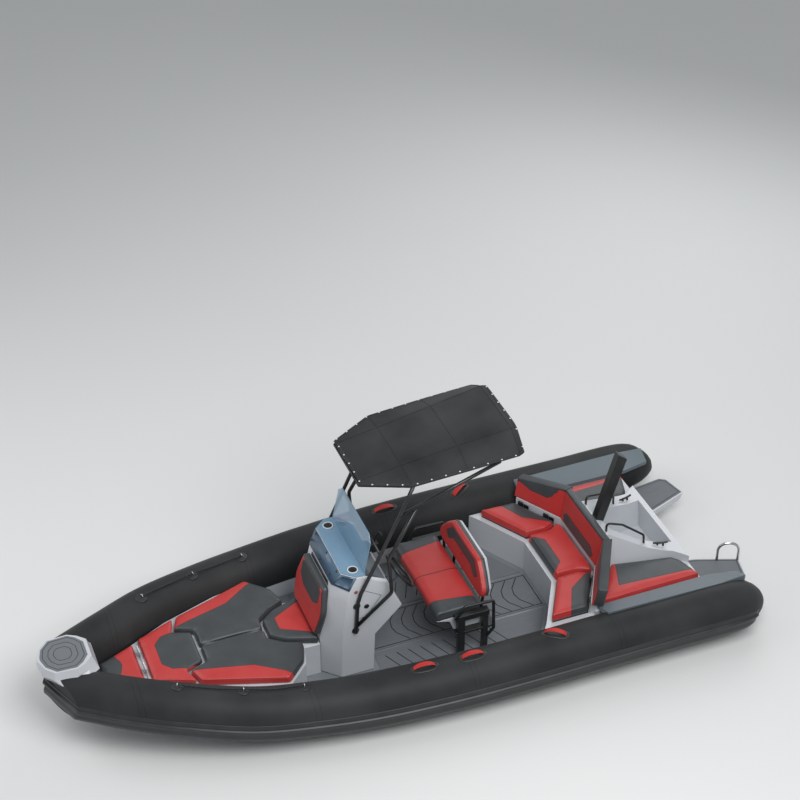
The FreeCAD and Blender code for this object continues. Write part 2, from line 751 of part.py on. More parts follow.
# Console: plan sections. Columns: z, front x, front half width, crease x, side half width, aft x
CONSOLE = (
    (0, 3600, 300, 3452, 0, 3139),
    (462, 3600, 300, 3438, 0, 3121),
    (731, 3544, 298, 3406, 0, 2864),
    (909, 3507, 294, 3378, 0, 2944),
    (1042, 3478, 290, 3358, 0, 2994),
    (1172, 3397, 338, 3285, 14, 3250),
)
DASH_POCKET = ((2800, 860), (3010, 955), (3235, 1128), (3235, 1300), (2800, 1300))


def make_console():
    base = size("liner_high") + size("seat_gap")
    lift = size("console_high") - 1172
    sections = []
    for z, front, front_half, crease, side_in, aft in CONSOLE:
        side = size("console_half") - side_in
        high = base if z == 0 else z + lift
        half = [(front, front_half), (crease, side), (aft, side)]
        sections.append([V(x, y, high) for x, y in both_sides(half)])
    body = skin(sections)
    pocket = side_prism([(x, z + lift) for x, z in DASH_POCKET], -390, 390)
    return body.cut(pocket)


console = make_console()
feature("console", console)

# Dashboard: dark panel in the pocket with an instrument pod
DASH = ((3012, 956.7), (3228, 1122.8), (3228, 1150), (3150, 1150), (2990, 1010))


def make_dash():
    lift = size("console_high") - 1172 + size("seat_gap")
    panel = side_prism([(x, z + lift) for x, z in DASH], -388, 388)
    pod = side_prism([(3040, 1050 + lift), (3120, 1120 + lift), (3190, 1150 + lift), (3190, 1240 + lift),
                      (3120, 1250 + lift)], -250, 60)
    return panel.fuse(pod)


wheel_turn = math.radians(size("wheel_rake"))
WHEEL_AXIS = V(-math.cos(wheel_turn), 0, math.sin(wheel_turn))
HUB_SEAT = V(2884, 220, 876)
BOSS_LONG = 62

dash_shape = make_dash()
boss = Part.makeCylinder(42, BOSS_LONG + 60, HUB_SEAT - WHEEL_AXIS * 60, WHEEL_AXIS)
boss = boss.cut(console)
dash_shape = Part.makeCompound([dash_shape.removeSplitter(), largest(boss)])
feature("dashboard", dash_shape)


def make_wheel():
    """Rim, hub and three spokes about the column axis."""
    gap = size("seat_gap")
    start = HUB_SEAT + WHEEL_AXIS * (BOSS_LONG + gap)
    hub = Part.makeCylinder(38, 34, start, WHEEL_AXIS)
    centre = start + WHEEL_AXIS * 40
    rim = hoop(centre, WHEEL_AXIS, size("wheel_radius"), size("wheel_rim"), 24, 8)
    shape = hub.fuse(rim)
    across = V(0, 1, 0)
    upward = WHEEL_AXIS.cross(across)
    for turn in (90, 210, 330):
        angle = math.radians(turn)
        reach = across * math.cos(angle) + upward * math.sin(angle)
        spoke = rod(start + WHEEL_AXIS * 20 + reach * 20, centre + reach * size("wheel_radius"), 9, 6)
        shape = shape.fuse(spoke)
    return shape.removeSplitter()


feature("steering_wheel", make_wheel())

# Throttle: side-mount box with its lever
THROTTLE = V(3000, -60, 1035)


def make_throttle():
    box = Part.makeBox(90, 60, 70, THROTTLE + V(-95, -30, -30)).cut([console, dash_shape])
    lever = bent_tube([THROTTLE + V(-60, 0, 20), THROTTLE + V(-70, 0, 90), THROTTLE + V(-110, 0, 160),
                       THROTTLE + V(-110, 70, 170)], 9, 22)
    return box.fuse(lever).removeSplitter()


feature("throttle", make_throttle())

# Console seat back: padded panel on the console's front face. Columns: height, half width
PAD_ROWS = ((485, 285), (700, 330), (985, 262))
PAD_THICK = 60
PAD_TAPER = 16


def make_console_pad():
    """Pad that follows the leaning front face between its lower and upper edge."""
    foot_z, foot_x = CONSOLE[1][0], CONSOLE[1][1]
    lean = (foot_x - CONSOLE[2][1]) / (CONSOLE[2][0] - foot_z)
    sections = []
    for z, half in PAD_ROWS:
        x = foot_x - (z - foot_z) * lean + size("seat_gap")
        front = half - PAD_TAPER
        sections.append([V(x, half, z), V(x + PAD_THICK, front, z), V(x + PAD_THICK, -front, z),
                         V(x, -half, z)])
    return skin(sections).cut(console)


feature("console_seat_back", make_console_pad())

# Windscreen: sheet over the console's brow, then the upright glass
BROW = ((3392, 334), (3282, 430), (3200, 424))
SCREEN_FOOT = (3206, 414)
SCREEN_LEAN = 78
SCREEN_CORNER = 60


def make_screen():
    low = size("console_high") + size("seat_gap")
    thick = size("screen_thick")
    plate = prism(both_sides(list(BROW)), low, low + thick)
    x, half = SCREEN_FOOT
    tall = size("screen_high") - low
    back = [(half, 0), (half - 8, tall - SCREEN_CORNER), (half - 16 - SCREEN_CORNER, tall)]
    outline = back + [(-y, up) for y, up in reversed(back)]
    sheets = []
    for ahead in (0, thick):
        sheets.append([V(x + ahead - SCREEN_LEAN * up / tall, y, low + up) for y, up in outline])
    return plate.fuse(skin(sheets)).removeSplitter()


feature("windscreen", make_screen())

# Canopy stations. Columns: x, outer y, outer z, crease y, crease z
CANOPY = (
    (3205, 335, 2098, 285, 2112),
    (2810, 541, 2127, 290, 2176),
    (2300, 556, 2162, 308, 2262),
    (1812, 560, 2192, 335, 2338),
    (1758, 515, 2178, 325, 2340),
)
# T-top frame. Points of the port side; the starboard side mirrors them. Columns: x, y from the
# console's side, z up to the cross rod, and x, y from the middle plane, z from there to the canopy
LEG_A_FOOT = ((3312, 17.2, 560), (3292, 17.2, 900), (3262, 20, 1010))
LEG_A_HEAD = ((2900, 484, 1793), (2790, 514, 2108))
LEG_B_FOOT = ((3300, 18, 640), (2985, 55, 965), (3013, 55, 1350))
LEG_B_HEAD = ((2743, 486, 1846),)
TOP_STRUT = ((2905, 486, 1793), (1990, 528, 2165))
RAIL_IN = 26
RAIL_UNDER = 5
RAIL_TUBE = 12
FOOT_DISCS = ((3312, 575), (3296, 860))
FOOT_WIDE = 34
FOOT_THICK = 9
CROSS_ROD = (3080, 22, 1410)
CROSS_RADIUS = 13.6


def rail_point(row):
    """Centre of the canopy's side rail, a little under the fabric at a station."""
    x, out_y, out_z, in_y, in_z = row
    slope = (in_z - out_z) / (out_y - in_y)
    below = (RAIL_TUBE + RAIL_UNDER) * math.sqrt(1 + slope * slope)
    return V(x, out_y - RAIL_IN, out_z + slope * RAIL_IN - below)


def bow_row(row):
    """Points of a cross bow from rail to rail, which carries the fabric at its creases."""
    x, out_y, out_z, in_y, in_z = row
    side = rail_point(row)
    # the bar's flat top is nearer its middle than its corners are, so it is let in by a seating gap
    crease = V(x, in_y - 6, in_z - RAIL_TUBE + size("seat_gap"))
    return [side, crease, across(crease), across(side)]


def make_canopy_frame():
    parts = [bent_tube(bow_row(row), RAIL_TUBE, 30, 6) for row in CANOPY[1:4]]
    rail = bent_tube([rail_point(row) for row in CANOPY[:4]], RAIL_TUBE, 40, 6)
    front = rail_point(CANOPY[0])
    parts += [rail, mirrored(rail), rod(front, across(front), RAIL_TUBE, 6)]
    return parts[0].multiFuse(parts[1:])


canopy_frame = make_canopy_frame()
feature("canopy_frame", canopy_frame)


def beside_console():
    return V(0, size("console_half"), 0)


def make_top_frame():
    """Two legs, a strut and two foot discs a side, and a cross rod, coped to the canopy frame."""
    radius = size("top_tube")
    parts = []
    for foot, head in ((LEG_A_FOOT, LEG_A_HEAD), (LEG_B_FOOT, LEG_B_HEAD), ((), TOP_STRUT)):
        points = [V(*point) + beside_console() for point in foot] + [V(*point) for point in head]
        shape = bent_tube(points, radius, 60) if len(points) > 2 else rod(points[0], points[1], radius)
        parts += [shape, mirrored(shape)]
    for x, z in FOOT_DISCS:
        foot = V(x, size("console_half") + size("seat_gap"), z)
        disc = rod(foot, foot + V(0, FOOT_THICK, 0), FOOT_WIDE, 12)
        parts += [disc, mirrored(disc)]
    end = V(*CROSS_ROD) + beside_console()
    parts.append(rod(end, across(end), CROSS_RADIUS))
    return largest(parts[0].multiFuse(parts[1:]).cut(canopy_frame))


feature("top_frame", make_top_frame())


def make_canopy():
    """Cloth of even depth: flat panels from station to station, each carried down by its thickness."""
    lift = V(0, 0, size("canopy_thick"))
    panels = []
    rows = [(V(x, out_y, out_z) + lift, V(x, in_y, in_z) + lift) for x, out_y, out_z, in_y, in_z in CANOPY]
    for (out_a, in_a), (out_b, in_b) in zip(rows, rows[1:]):
        port = patch(out_a, in_a, in_b, out_b)
        panels += port + [mirrored(face) for face in port]
        panels.append(flat_face([in_a, in_b, across(in_b), across(in_a)]))
    sheets = [panel.extrude(-lift) for panel in panels]
    return sheets[0].multiFuse(sheets[1:]).removeSplitter()


feature("canopy", make_canopy())

# Helm seat
HELM_SIDE = ((2568, 480), (2575, 545), (2545, 580), (2150, 580), (2126, 560), (2126, 480))


def make_helm_cushion():
    lift = size("helm_cushion_high") - 580
    return side_prism([(x, z + lift) for x, z in HELM_SIDE], -530, 530)


helm_cushion = make_helm_cushion()
feature("helm_cushion", helm_cushion)
HELM_PAN = ((2560, 479.7), (2430, 440), (2390, 334), (2130, 334), (2124, 479.7))
feature("helm_seat_pan", side_prism(HELM_PAN, -525, 525))
HELM_BACK = ((300, 884), (398, 800), (500, 680), (500, 600), (420, 585))


def make_helm_back():
    front = whole([V(2118, y, z) for y, z in HELM_BACK])
    back = whole([V(2040, y * 0.97, z) for y, z in HELM_BACK])
    shape = skin([back, front])
    lean = FreeCAD.Placement(V(0, 0, 0), FreeCAD.Rotation(V(0, 1, 0), -8), V(2118, 0, 585))
    shape.Placement = lean
    return shape


helm_back = make_helm_back()
feature("helm_backrest", helm_back)


def make_helm_shell():
    """Moulded shell behind the backrest."""
    front = [V(2039.7, y * 0.985, z + 6) for y, z in HELM_BACK[:4]] + [V(2039.7, 420, 560)]
    front = front + [V(p.x, -p.y, p.z) for p in reversed(front)]
    back = [V(2012, p.y * 0.95, p.z) for p in front]
    shape = skin([back, front])
    shape.Placement = FreeCAD.Placement(V(0, 0, 0), FreeCAD.Rotation(V(0, 1, 0), -8), V(2118, 0, 585))
    return shape


helm_shell = make_helm_shell()
feature("helm_shell", helm_shell)

# Helm seat frame. Posts: x, width along the boat. Arm: points of the port loop
HELM_POSTS = ((2338, 70), (2102, 56))
HELM_ARM = ((2395, 585, 505), (2310, 590, 640), (2030, 590, 628), (2018, 590, 290), (2085, 590, 215))
ARM_BEND = 26
SHELL_ROD = 14


def make_helm_frame():
    """Two posts a side with a top plate, an arm loop, and a cross plate under the cushion."""
    base = size("liner_high") + size("mat_thick") + 2 * size("seat_gap")
    parts = []
    for x, wide in HELM_POSTS:
        parts.append(Part.makeBox(wide, 44, 520 - base, V(x - wide / 2, 548, base)))
    parts.append(Part.makeBox(330, 44, 60, V(2065, 548, 470)))
    parts.append(Part.makeBox(60, 26, 17, V(2200, 525.3, 462)))
    parts.append(Part.makeBox(390, 1180, 27, V(2000, -590, 306.7)))
    for y in (-330, 330):
        parts.append(rod(V(2033.3, y, 330), V(1985.3, y, 672), SHELL_ROD))
    parts.append(bent_tube([V(*point) for point in HELM_ARM], size("seat_frame_tube"), ARM_BEND))
    shape = parts[0].multiFuse(parts[1:])
    return largest(shape.fuse(mirrored(shape)).cut([helm_shell, helm_cushion]).removeSplitter())


feature("helm_frame", make_helm_frame())

# Tow mast on the front of the engine well


def make_mast():
    foot = [V(655, -42, 700), V(745, -42, 700), V(745, 42, 700), V(655, 42, 700)]
    head = [V(452, -36, 1395), V(545, -36, 1470), V(545, 36, 1470), V(452, 36, 1395)]
    post = skin([foot, head])
    eye = hoop(V(500, 0, 1476), V(0, 1, 0), 26, 7)
    lamp = rod(V(505, 0, 1500), V(505, 0, 1560), 16, 12)
    return largest(post.fuse([eye, lamp]).cut(aft_deck).removeSplitter())


mast = make_mast()
feature("tow_mast", mast)

# Rails beside the well and stern cleats
RAIL = ((712, 215, 730), (712, 215, 840), (560, 245, 800), (360, 312, 668), (352, 315, 560))


def make_rails():
    rail = largest(bent_tube([V(*point) for point in RAIL], size("rail_radius"), 30).cut(aft_deck))
    return Part.makeCompound([rail, mirrored(rail)])


feature("well_rails", make_rails())


def cleat(place, heading):
    """Two-horned cleat: two posts and a bar."""
    parts = [rod(place + heading * run, place + heading * run + V(0, 0, 34), 9) for run in (-28, 28)]
    bar = rod(place + heading * -70 + V(0, 0, 38), place + heading * 70 + V(0, 0, 38), 10)
    return parts[0].fuse([parts[1], bar])


# Nose step, a moulding that saddles the tubes. Rows of x, half width and height, aft to front:
# the rim, the shoulder under it, the foot on the tubes and a root between them
NOSE_RIM = ((5604, 112), (5672, 180), (5752, 224), (5940, 212), (6014, 132), (6053, 20))
NOSE_SHOULDER = ((5580, 130, 700), (5652, 205, 705), (5745, 246, 708), (5960, 226, 700), (6032, 140, 700),
                 (6068, 20, 705))
NOSE_FOOT = ((5560, 170, 655), (5668, 262, 672), (5790, 262, 690), (5904, 276, 658), (5963, 140, 604),
             (6018, 14, 554))
NOSE_ROOT = ((5600, 60), (5680, 90), (5790, 80), (5850, 70), (5900, 40), (5930, 10))
NOSE_ROOT_HIGH = 500
NOSE_MAT = ((5635, 84), (5690, 158), (5753, 204), (5925, 196), (6004, 110), (6030, 18))


def make_nose():
    lift = size("nose_high") - 770
    rows = [[V(x, y, size("nose_high")) for x, y in NOSE_RIM],
            [V(x, y, z + lift) for x, y, z in NOSE_SHOULDER],
            [V(x, y, z) for x, y, z in NOSE_FOOT],
            [V(x, y, NOSE_ROOT_HIGH) for x, y in NOSE_ROOT]]
    return largest(skin([whole(row) for row in rows]).cut(both_tubes + [hull_shape]).removeSplitter())


nose = make_nose()
feature("nose_step", nose)
slab("nose_mat", [both_sides(list(NOSE_MAT))], "sizes.nose_high + sizes.seat_gap", "sizes.mat_thick")

cleats = []
for side in SIDES:
    cleats.append(cleat(V(197, side * 362, 520), V(1, -0.25 * side, 0).normalize()).cut(aft_deck))
cleats = [largest(shape) for shape in cleats]
feature("cleats", Part.makeCompound(cleats))

# Grab handles: strap arches on patches. Columns: x, turn in degrees
HANDLES = ((2900, 0), (2450, 0), (1650, 32))
HANDLE_LONG = 200
HANDLE_RISE = 38
STRAP_WIDE = 44


def make_handle(x, turn):
    tube_y, tube_z, tube_r = tube_at(x)
    top = tube_z + tube_r
    half = HANDLE_LONG / 2
    outer = [V(-half, 0, -12), V(-half, 0, 4), V(0, 0, HANDLE_RISE), V(half, 0, 4), V(half, 0, -12)]
    inner_half = half - 26
    edges = [Part.LineSegment(outer[0], outer[1]).toShape(),
             Part.Arc(outer[1], outer[2], outer[3]).toShape(),
             Part.LineSegment(outer[3], outer[4]).toShape(),
             Part.LineSegment(outer[4], V(inner_half, 0, -12)).toShape(),
             Part.Arc(V(inner_half, 0, -12), V(0, 0, HANDLE_RISE - 9), V(-inner_half, 0, -12)).toShape(),
             Part.LineSegment(V(-inner_half, 0, -12), outer[0]).toShape()]
    arch = Part.Face(Part.Wire(edges)).extrude(V(0, STRAP_WIDE, 0))
    arch.translate(V(0, -STRAP_WIDE / 2, 0))
    seat = FreeCAD.Placement(V(x, tube_y - 18, top), FreeCAD.Rotation(UP, turn))
    arch.Placement = seat.multiply(arch.Placement)
    arch = arch.cut(collar)
    return largest(arch)


handles = [make_handle(x, turn) for x, turn in HANDLES]
handles += [mirrored(shape) for shape in handles]
feature("grab_straps", Part.makeCompound(handles))

# Rope rings and ropes on the bow. Columns: x, angle round the tube
RINGS = ((3970, 100), (4500, 100), (5020, 100))
RING_DISC = 44
EYE_LIFT = 20
EYE_WIDE = 17
EYE_BAR = 4.5


def ring_on_tube(x, angle):
    """Place and outward direction of a point on the port tube."""
    rings = tube_rings()
    for low, high in zip(rings, rings[1:]):
        if low[0].x <= x <= high[0].x:
            share = (x - low[0].x) / (high[0].x - low[0].x)
            first = ring_point(low, angle)
            last = ring_point(high, angle)
            centre = low[0] + (high[0] - low[0]) * share
            place = first + (last - first) * share
            return place, (place - centre).normalize(), (high[0] - low[0]).normalize()
    raise ValueError(x)


def make_rope_ring(x, angle):
    place, out, along = ring_on_tube(x, angle)
    disc = rod(place - out * 10, place + out * 4, RING_DISC, 12)
    eye = hoop(place + out * EYE_LIFT, along, EYE_WIDE, EYE_BAR, 10, 5)
    return largest(disc.fuse(eye).cut(collar))


rope_rings = [make_rope_ring(x, angle) for x, angle in RINGS]
rope_rings += [mirrored(shape) for shape in rope_rings]
feature("rope_rings", Part.makeCompound(rope_rings))

# Bow ropes: through the eyes, sagging towards the tube between them. Columns: x, lift off the tube
ROPE_ROUTE = ((3970, 24.4), (4235, 14), (4500, 24.4), (4760, 14), (5020, 24.4))
ROPE_BEND = 500


def make_rope():
    points = []
    for x, lift in ROPE_ROUTE:
        place, out, along = ring_on_tube(x, RINGS[0][1])
        points.append(place + out * lift)
    return bent_tube(points, size("rope_radius"), ROPE_BEND, 6)


rope = make_rope()
feature("bow_ropes", Part.makeCompound([rope, mirrored(rope)]))

doc.recompute()
for thing in doc.Objects:
    for word in ("Invalid", "Error"):
        if word in thing.State:
            raise RuntimeError(thing.Name + " is " + word)
faulty = [thing.Label for thing in NODES
          if thing.Shape.isNull() or not thing.Shape.isValid() or not thing.Shape.Solids]
if faulty:
    raise RuntimeError("no valid solid: " + ", ".join(faulty))

os.makedirs("parts", exist_ok=True)
for thing in NODES:
    thing.Shape.exportStep("parts/" + thing.Label + ".step")
print(len(NODES), "nodes written")
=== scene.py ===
import math
import bmesh
import bpy
import numpy as np
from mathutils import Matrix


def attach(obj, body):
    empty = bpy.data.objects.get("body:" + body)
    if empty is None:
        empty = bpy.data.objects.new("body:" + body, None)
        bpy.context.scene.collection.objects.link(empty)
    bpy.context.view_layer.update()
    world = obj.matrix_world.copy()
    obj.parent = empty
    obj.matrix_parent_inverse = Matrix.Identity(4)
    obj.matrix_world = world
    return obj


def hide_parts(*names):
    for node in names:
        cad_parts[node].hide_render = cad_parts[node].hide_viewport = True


bl_info = {
    "name": "Inflatable rib boat",
    "version": (1, 0, 0),
    "blender": (4, 5, 0),
    "location": "3D View > Sidebar > Rib boat",
    "description": "Skins, cushions, canopy, fittings and finishes of a rigid inflatable boat",
    "category": "Add Mesh",
}

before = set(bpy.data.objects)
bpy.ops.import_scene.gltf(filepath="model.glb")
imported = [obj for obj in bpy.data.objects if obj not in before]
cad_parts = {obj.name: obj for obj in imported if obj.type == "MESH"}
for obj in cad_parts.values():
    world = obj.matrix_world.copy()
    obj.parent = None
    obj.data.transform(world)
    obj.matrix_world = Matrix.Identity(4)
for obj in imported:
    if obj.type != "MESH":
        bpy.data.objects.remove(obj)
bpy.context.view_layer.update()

# Sizes and colours that a user would change


def srgb(code):
    """sRGB hex string to a linear RGBA tuple."""
    parts = [int(code[i:i + 2], 16) / 255 for i in (1, 3, 5)]
    return tuple(c / 12.92 if c <= 0.04045 else ((c + 0.055) / 1.055) ** 2.4 for c in parts) + (1.0,)


def colour(name, description, code):
    """A colour swatch whose default is an sRGB hex value."""
    return bpy.props.FloatVectorProperty(name=name, description=description, default=srgb(code)[:3],
                                         size=3, subtype="COLOR", min=0, max=1)


def span(name, description, metres):
    """A length in metres."""
    return bpy.props.FloatProperty(name=name, description=description, default=metres, unit="LENGTH")


class RibBoatColours(bpy.types.PropertyGroup):
    """Colours of the boat's finishes."""
    tube: colour("Tube cloth", "Coated cloth of the air tubes", "#0f1214")
    rubber: colour("Rubber", "Rubbing band, patches and trims", "#17191b")
    gelcoat: colour("Gelcoat", "Pale mouldings", "#c2c5ca")
    # liner: a grey gelcoat darkened further as painted shade for the shaded sole and inner walls
    liner: colour("Liner gelcoat", "Sole and inner walls", "#747a7f")
    fairing: colour("Fairing gelcoat", "Quarter fairings beside the sun pads", "#677279")
    vinyl: colour("Vinyl", "Bright panels of the cushions", "#b92421")
    vinyl_dark: colour("Dark vinyl", "Dark panels of the cushions", "#32383c")
    foam: colour("Deck foam", "Grooved foam mats", "#666b70")
    groove: colour("Foam groove", "Routed lines in the foam mats", "#22272a")
    coat: colour("Powder coat", "Steel tubes, seat frames and mast", "#121415")
    acrylic: colour("Acrylic", "Tinted screen over the console", "#76a0be")
    canvas: colour("Canvas", "Canopy cloth", "#111416")


class RibBoatSizes(bpy.types.PropertyGroup):
    """Small sizes that belong to the looks and not to the construction."""
    crown: span("Crown", "Rise of a cushion's middle above its edge", 0.010)
    puff: span("Puff", "Furthest that the simulated vinyl swells", 0.006)
    voxel: span("Voxel", "Mesh size of the simulated vinyl", 0.011)
    moulded: span("Moulded edge", "Radius on the edges of mouldings", 0.007)
    groove: span("Groove", "Width of the lines in the foam mats", 0.009)
    snap: span("Snap", "Radius of the canopy's snap heads", 0.0075)
    hem: span("Hem", "Width of the canopy's hem", 0.022)
    disc: span("Ring patch", "Radius of the rubber patch under a rope ring", 0.056)


def tint(name):
    """A colour of the finish, from the scene's swatches."""
    return tuple(getattr(bpy.context.scene.rib_colours, name)) + (1.0,)


def size(name):
    """A length from the scene's sizes."""
    return getattr(bpy.context.scene.rib_sizes, name)


# Finishes

SKIN = {}
# Tube cloth: half the distance between welded seams, the shift of the first one, half a tape's width
SEAM_HALF_PITCH = 0.71
SEAM_SHIFT = 0.35
TAPE_HALF = 0.024
# Cushions: half the width of a sewn seam
STITCH_HALF = 0.0022


def node(tree, kind, inputs=None, out=0, **settings):
    """Add a shader node.

    inputs, by name or number, are sockets to link or values; settings are the node's properties.
    """
    made = tree.nodes.new("ShaderNode" + kind)
    for key, value in settings.items():
        setattr(made, key, value)
    for key, value in (inputs or {}).items():
        if isinstance(value, bpy.types.NodeSocket):
            tree.links.new(value, made.inputs[key])
        else:
            made.inputs[key].default_value = value
    return made.outputs[out]


def finish(key, name, base, rough, tone=None, bump=None, **sockets):
    """A material under a plain key: base colour, roughness, and socket values on its one shader.

    tone is (noise scale per metre, second colour, share); bump is (noise scale per metre, strength,
    height in metres).
    """
    mat = bpy.data.materials.new(name)
    mat.use_nodes = True
    mat.diffuse_color = base
    tree = mat.node_tree
    shader = tree.nodes["Principled BSDF"]
    values = {"Base Color": base, "Roughness": rough}
    values.update({word.replace("_", " ").title().replace("Ior", "IOR"): v for word, v in sockets.items()})
    for word, value in values.items():
        shader.inputs[word].default_value = value
    place = node(tree, "TexCoord", out=3)
    if tone:
        drift = node(tree, "TexNoise", {"Vector": place, "Scale": tone[0], "Detail": 3.0})
        share = node(tree, "Math", {0: drift, 1: tone[2]}, operation="MULTIPLY")
        mixed = node(tree, "Mix", {0: share, 6: base, 7: tone[1]}, 2, data_type="RGBA")
        tree.links.new(mixed, shader.inputs["Base Color"])
    if bump:
        grain = node(tree, "TexNoise", {"Vector": place, "Scale": bump[0], "Detail": 2.0})
        relief = node(tree, "Bump", {"Height": grain, "Strength": bump[1], "Distance": bump[2]})
        tree.links.new(relief, shader.inputs["Normal"])
    SKIN[key] = mat
    return tree, shader, place


def lighter(code, amount):
    """A colour moved towards white by a share, or towards black by a negative one."""
    goal = 1.0 if amount > 0 else 0.0
    return tuple(c + (goal - c) * abs(amount) for c in code[:3]) + (1.0,)


def tube_cloth():
    """Coated tube cloth: satin charcoal with a soft bloom, a fine grain and welded seams.

    The seams follow the attribute run, metres along the boat: a dark line each side of a tape.
    """
    base = tint("tube")
    tree, shader, place = finish("tube", "coated_tube_cloth", base, 0.5, specular_ior_level=0.14,
                                 sheen_weight=0.02, sheen_roughness=0.5)
    drift = node(tree, "TexNoise", {"Vector": place, "Scale": 1.6, "Detail": 4.0})
    cloudy = node(tree, "Mix", {0: drift, 6: lighter(base, -0.22), 7: lighter(base, 0.05)}, 2,
                  data_type="RGBA")
    run = node(tree, "Attribute", out=2, attribute_name="run")
    near = node(tree, "Math", {0: run, 1: SEAM_HALF_PITCH}, operation="PINGPONG")
    tape = node(tree, "Math", {0: near, 1: TAPE_HALF}, operation="SUBTRACT")
    edge = node(tree, "Math", {0: tape}, operation="ABSOLUTE")
    line = node(tree, "Math", {0: edge, 1: 0.0016}, operation="LESS_THAN")
    dark = node(tree, "Math", {0: line, 1: 0.55}, operation="MULTIPLY")
    toned = node(tree, "Mix", {0: dark, 6: cloudy, 7: lighter(base, -0.7)}, 2, data_type="RGBA")
    tree.links.new(toned, shader.inputs["Base Color"])
    # thread of the cloth is 0.5 mm and too fine to show, so the grain is drawn at 3 mm
    grain = node(tree, "TexNoise", {"Vector": place, "Scale": 330.0, "Detail": 2.0})
    raised = node(tree, "Math", {0: near, 1: TAPE_HALF}, operation="LESS_THAN")
    height = node(tree, "Math", {0: grain, 1: 0.12, 2: raised}, operation="MULTIPLY_ADD")
    relief = node(tree, "Bump", {"Height": height, "Strength": 0.35, "Distance": 0.001})
    tree.links.new(relief, shader.inputs["Normal"])


def cushion_vinyl():
    """Marine vinyl over foam: two colours that meet in a sewn seam, leather grain and stitches.

    The attribute red is the signed distance in metres into the bright panels, and rim the distance
    down from the top edge, where the side wall is sewn on.
    """
    bright = tint("vinyl")
    dark = tint("vinyl_dark")
    tree, shader, place = finish("vinyl", "marine_vinyl", bright, 0.44, coat_weight=0.12,
                                 coat_roughness=0.35, sheen_weight=0.03)
    red = node(tree, "Attribute", out=2, attribute_name="red")
    rim = node(tree, "Attribute", out=2, attribute_name="rim")
    share = node(tree, "Math", {0: red, 1: 0.0}, operation="GREATER_THAN")
    drift = node(tree, "TexNoise", {"Vector": place, "Scale": 5.0, "Detail": 4.0})
    reds = node(tree, "Mix", {0: drift, 6: lighter(bright, -0.12), 7: lighter(bright, 0.035)}, 2,
                data_type="RGBA")
    darks = node(tree, "Mix", {0: drift, 6: lighter(dark, -0.2), 7: lighter(dark, 0.03)}, 2,
                 data_type="RGBA")
    tone = node(tree, "Mix", {0: share, 6: darks, 7: reds}, 2, data_type="RGBA")
    away = node(tree, "Math", {0: red}, operation="ABSOLUTE")
    down = node(tree, "Math", {0: rim}, operation="ABSOLUTE")
    nearest = node(tree, "Math", {0: away, 1: down}, operation="MINIMUM")
    seam = node(tree, "Math", {0: nearest, 1: STITCH_HALF}, operation="LESS_THAN")
    faint = node(tree, "Math", {0: seam, 1: 0.72}, operation="MULTIPLY")
    sewn = node(tree, "Mix", {0: faint, 6: tone, 7: srgb("#150d0d")}, 2, data_type="RGBA")
    tree.links.new(sewn, shader.inputs["Base Color"])
    # leather grain of about 2 mm, drawn at 5 mm to show
    grain = node(tree, "TexVoronoi", {"Vector": place, "Scale": 210.0})
    pull = node(tree, "Math", {0: nearest, 1: 0.007}, operation="MINIMUM")
    roll = node(tree, "Math", {0: pull, 1: 120.0}, operation="MULTIPLY")
    height = node(tree, "Math", {0: grain, 1: 0.16, 2: roll}, operation="MULTIPLY_ADD")
    relief = node(tree, "Bump", {"Height": height, "Strength": 0.5, "Distance": 0.002})
    tree.links.new(relief, shader.inputs["Normal"])


def deck_foam():
    """Closed-cell foam sheet: matt grey with a brushed streak along the boat."""
    base = tint("foam")
    tree, shader, place = finish("foam", "brushed_deck_foam", base, 0.82)
    stretched = node(tree, "Mapping", {"Vector": place, "Scale": (6.0, 240.0, 40.0)})
    streak = node(tree, "TexNoise", {"Vector": stretched, "Scale": 1.0, "Detail": 3.0})
    toned = node(tree, "Mix", {0: streak, 6: lighter(base, -0.2), 7: lighter(base, 0.06)}, 2,
                 data_type="RGBA")
    tree.links.new(toned, shader.inputs["Base Color"])
    relief = node(tree, "Bump", {"Height": streak, "Strength": 0.35, "Distance": 0.0008})
    tree.links.new(relief, shader.inputs["Normal"])


def hull_gelcoat():
    """Sprayed gelcoat of the mouldings: glossy, with faint orange peel and a soft tonal drift."""
    for key, name, base, rough in (("gelcoat", "sprayed_gelcoat_pale", tint("gelcoat"), 0.3),
                                   # the liner's grey is partly its own and partly painted shade for the
                                   # inside of the boat
                                   ("liner", "sprayed_gelcoat_grey", tint("liner"), 0.38),
                                   ("fairing", "satin_gelcoat_slate", tint("fairing"), 0.34)):
        finish(key, name, base, rough, (3.0, lighter(base, -0.1), 0.6), (45.0, 0.05, 0.001),
               coat_weight=0.3, coat_roughness=0.15)


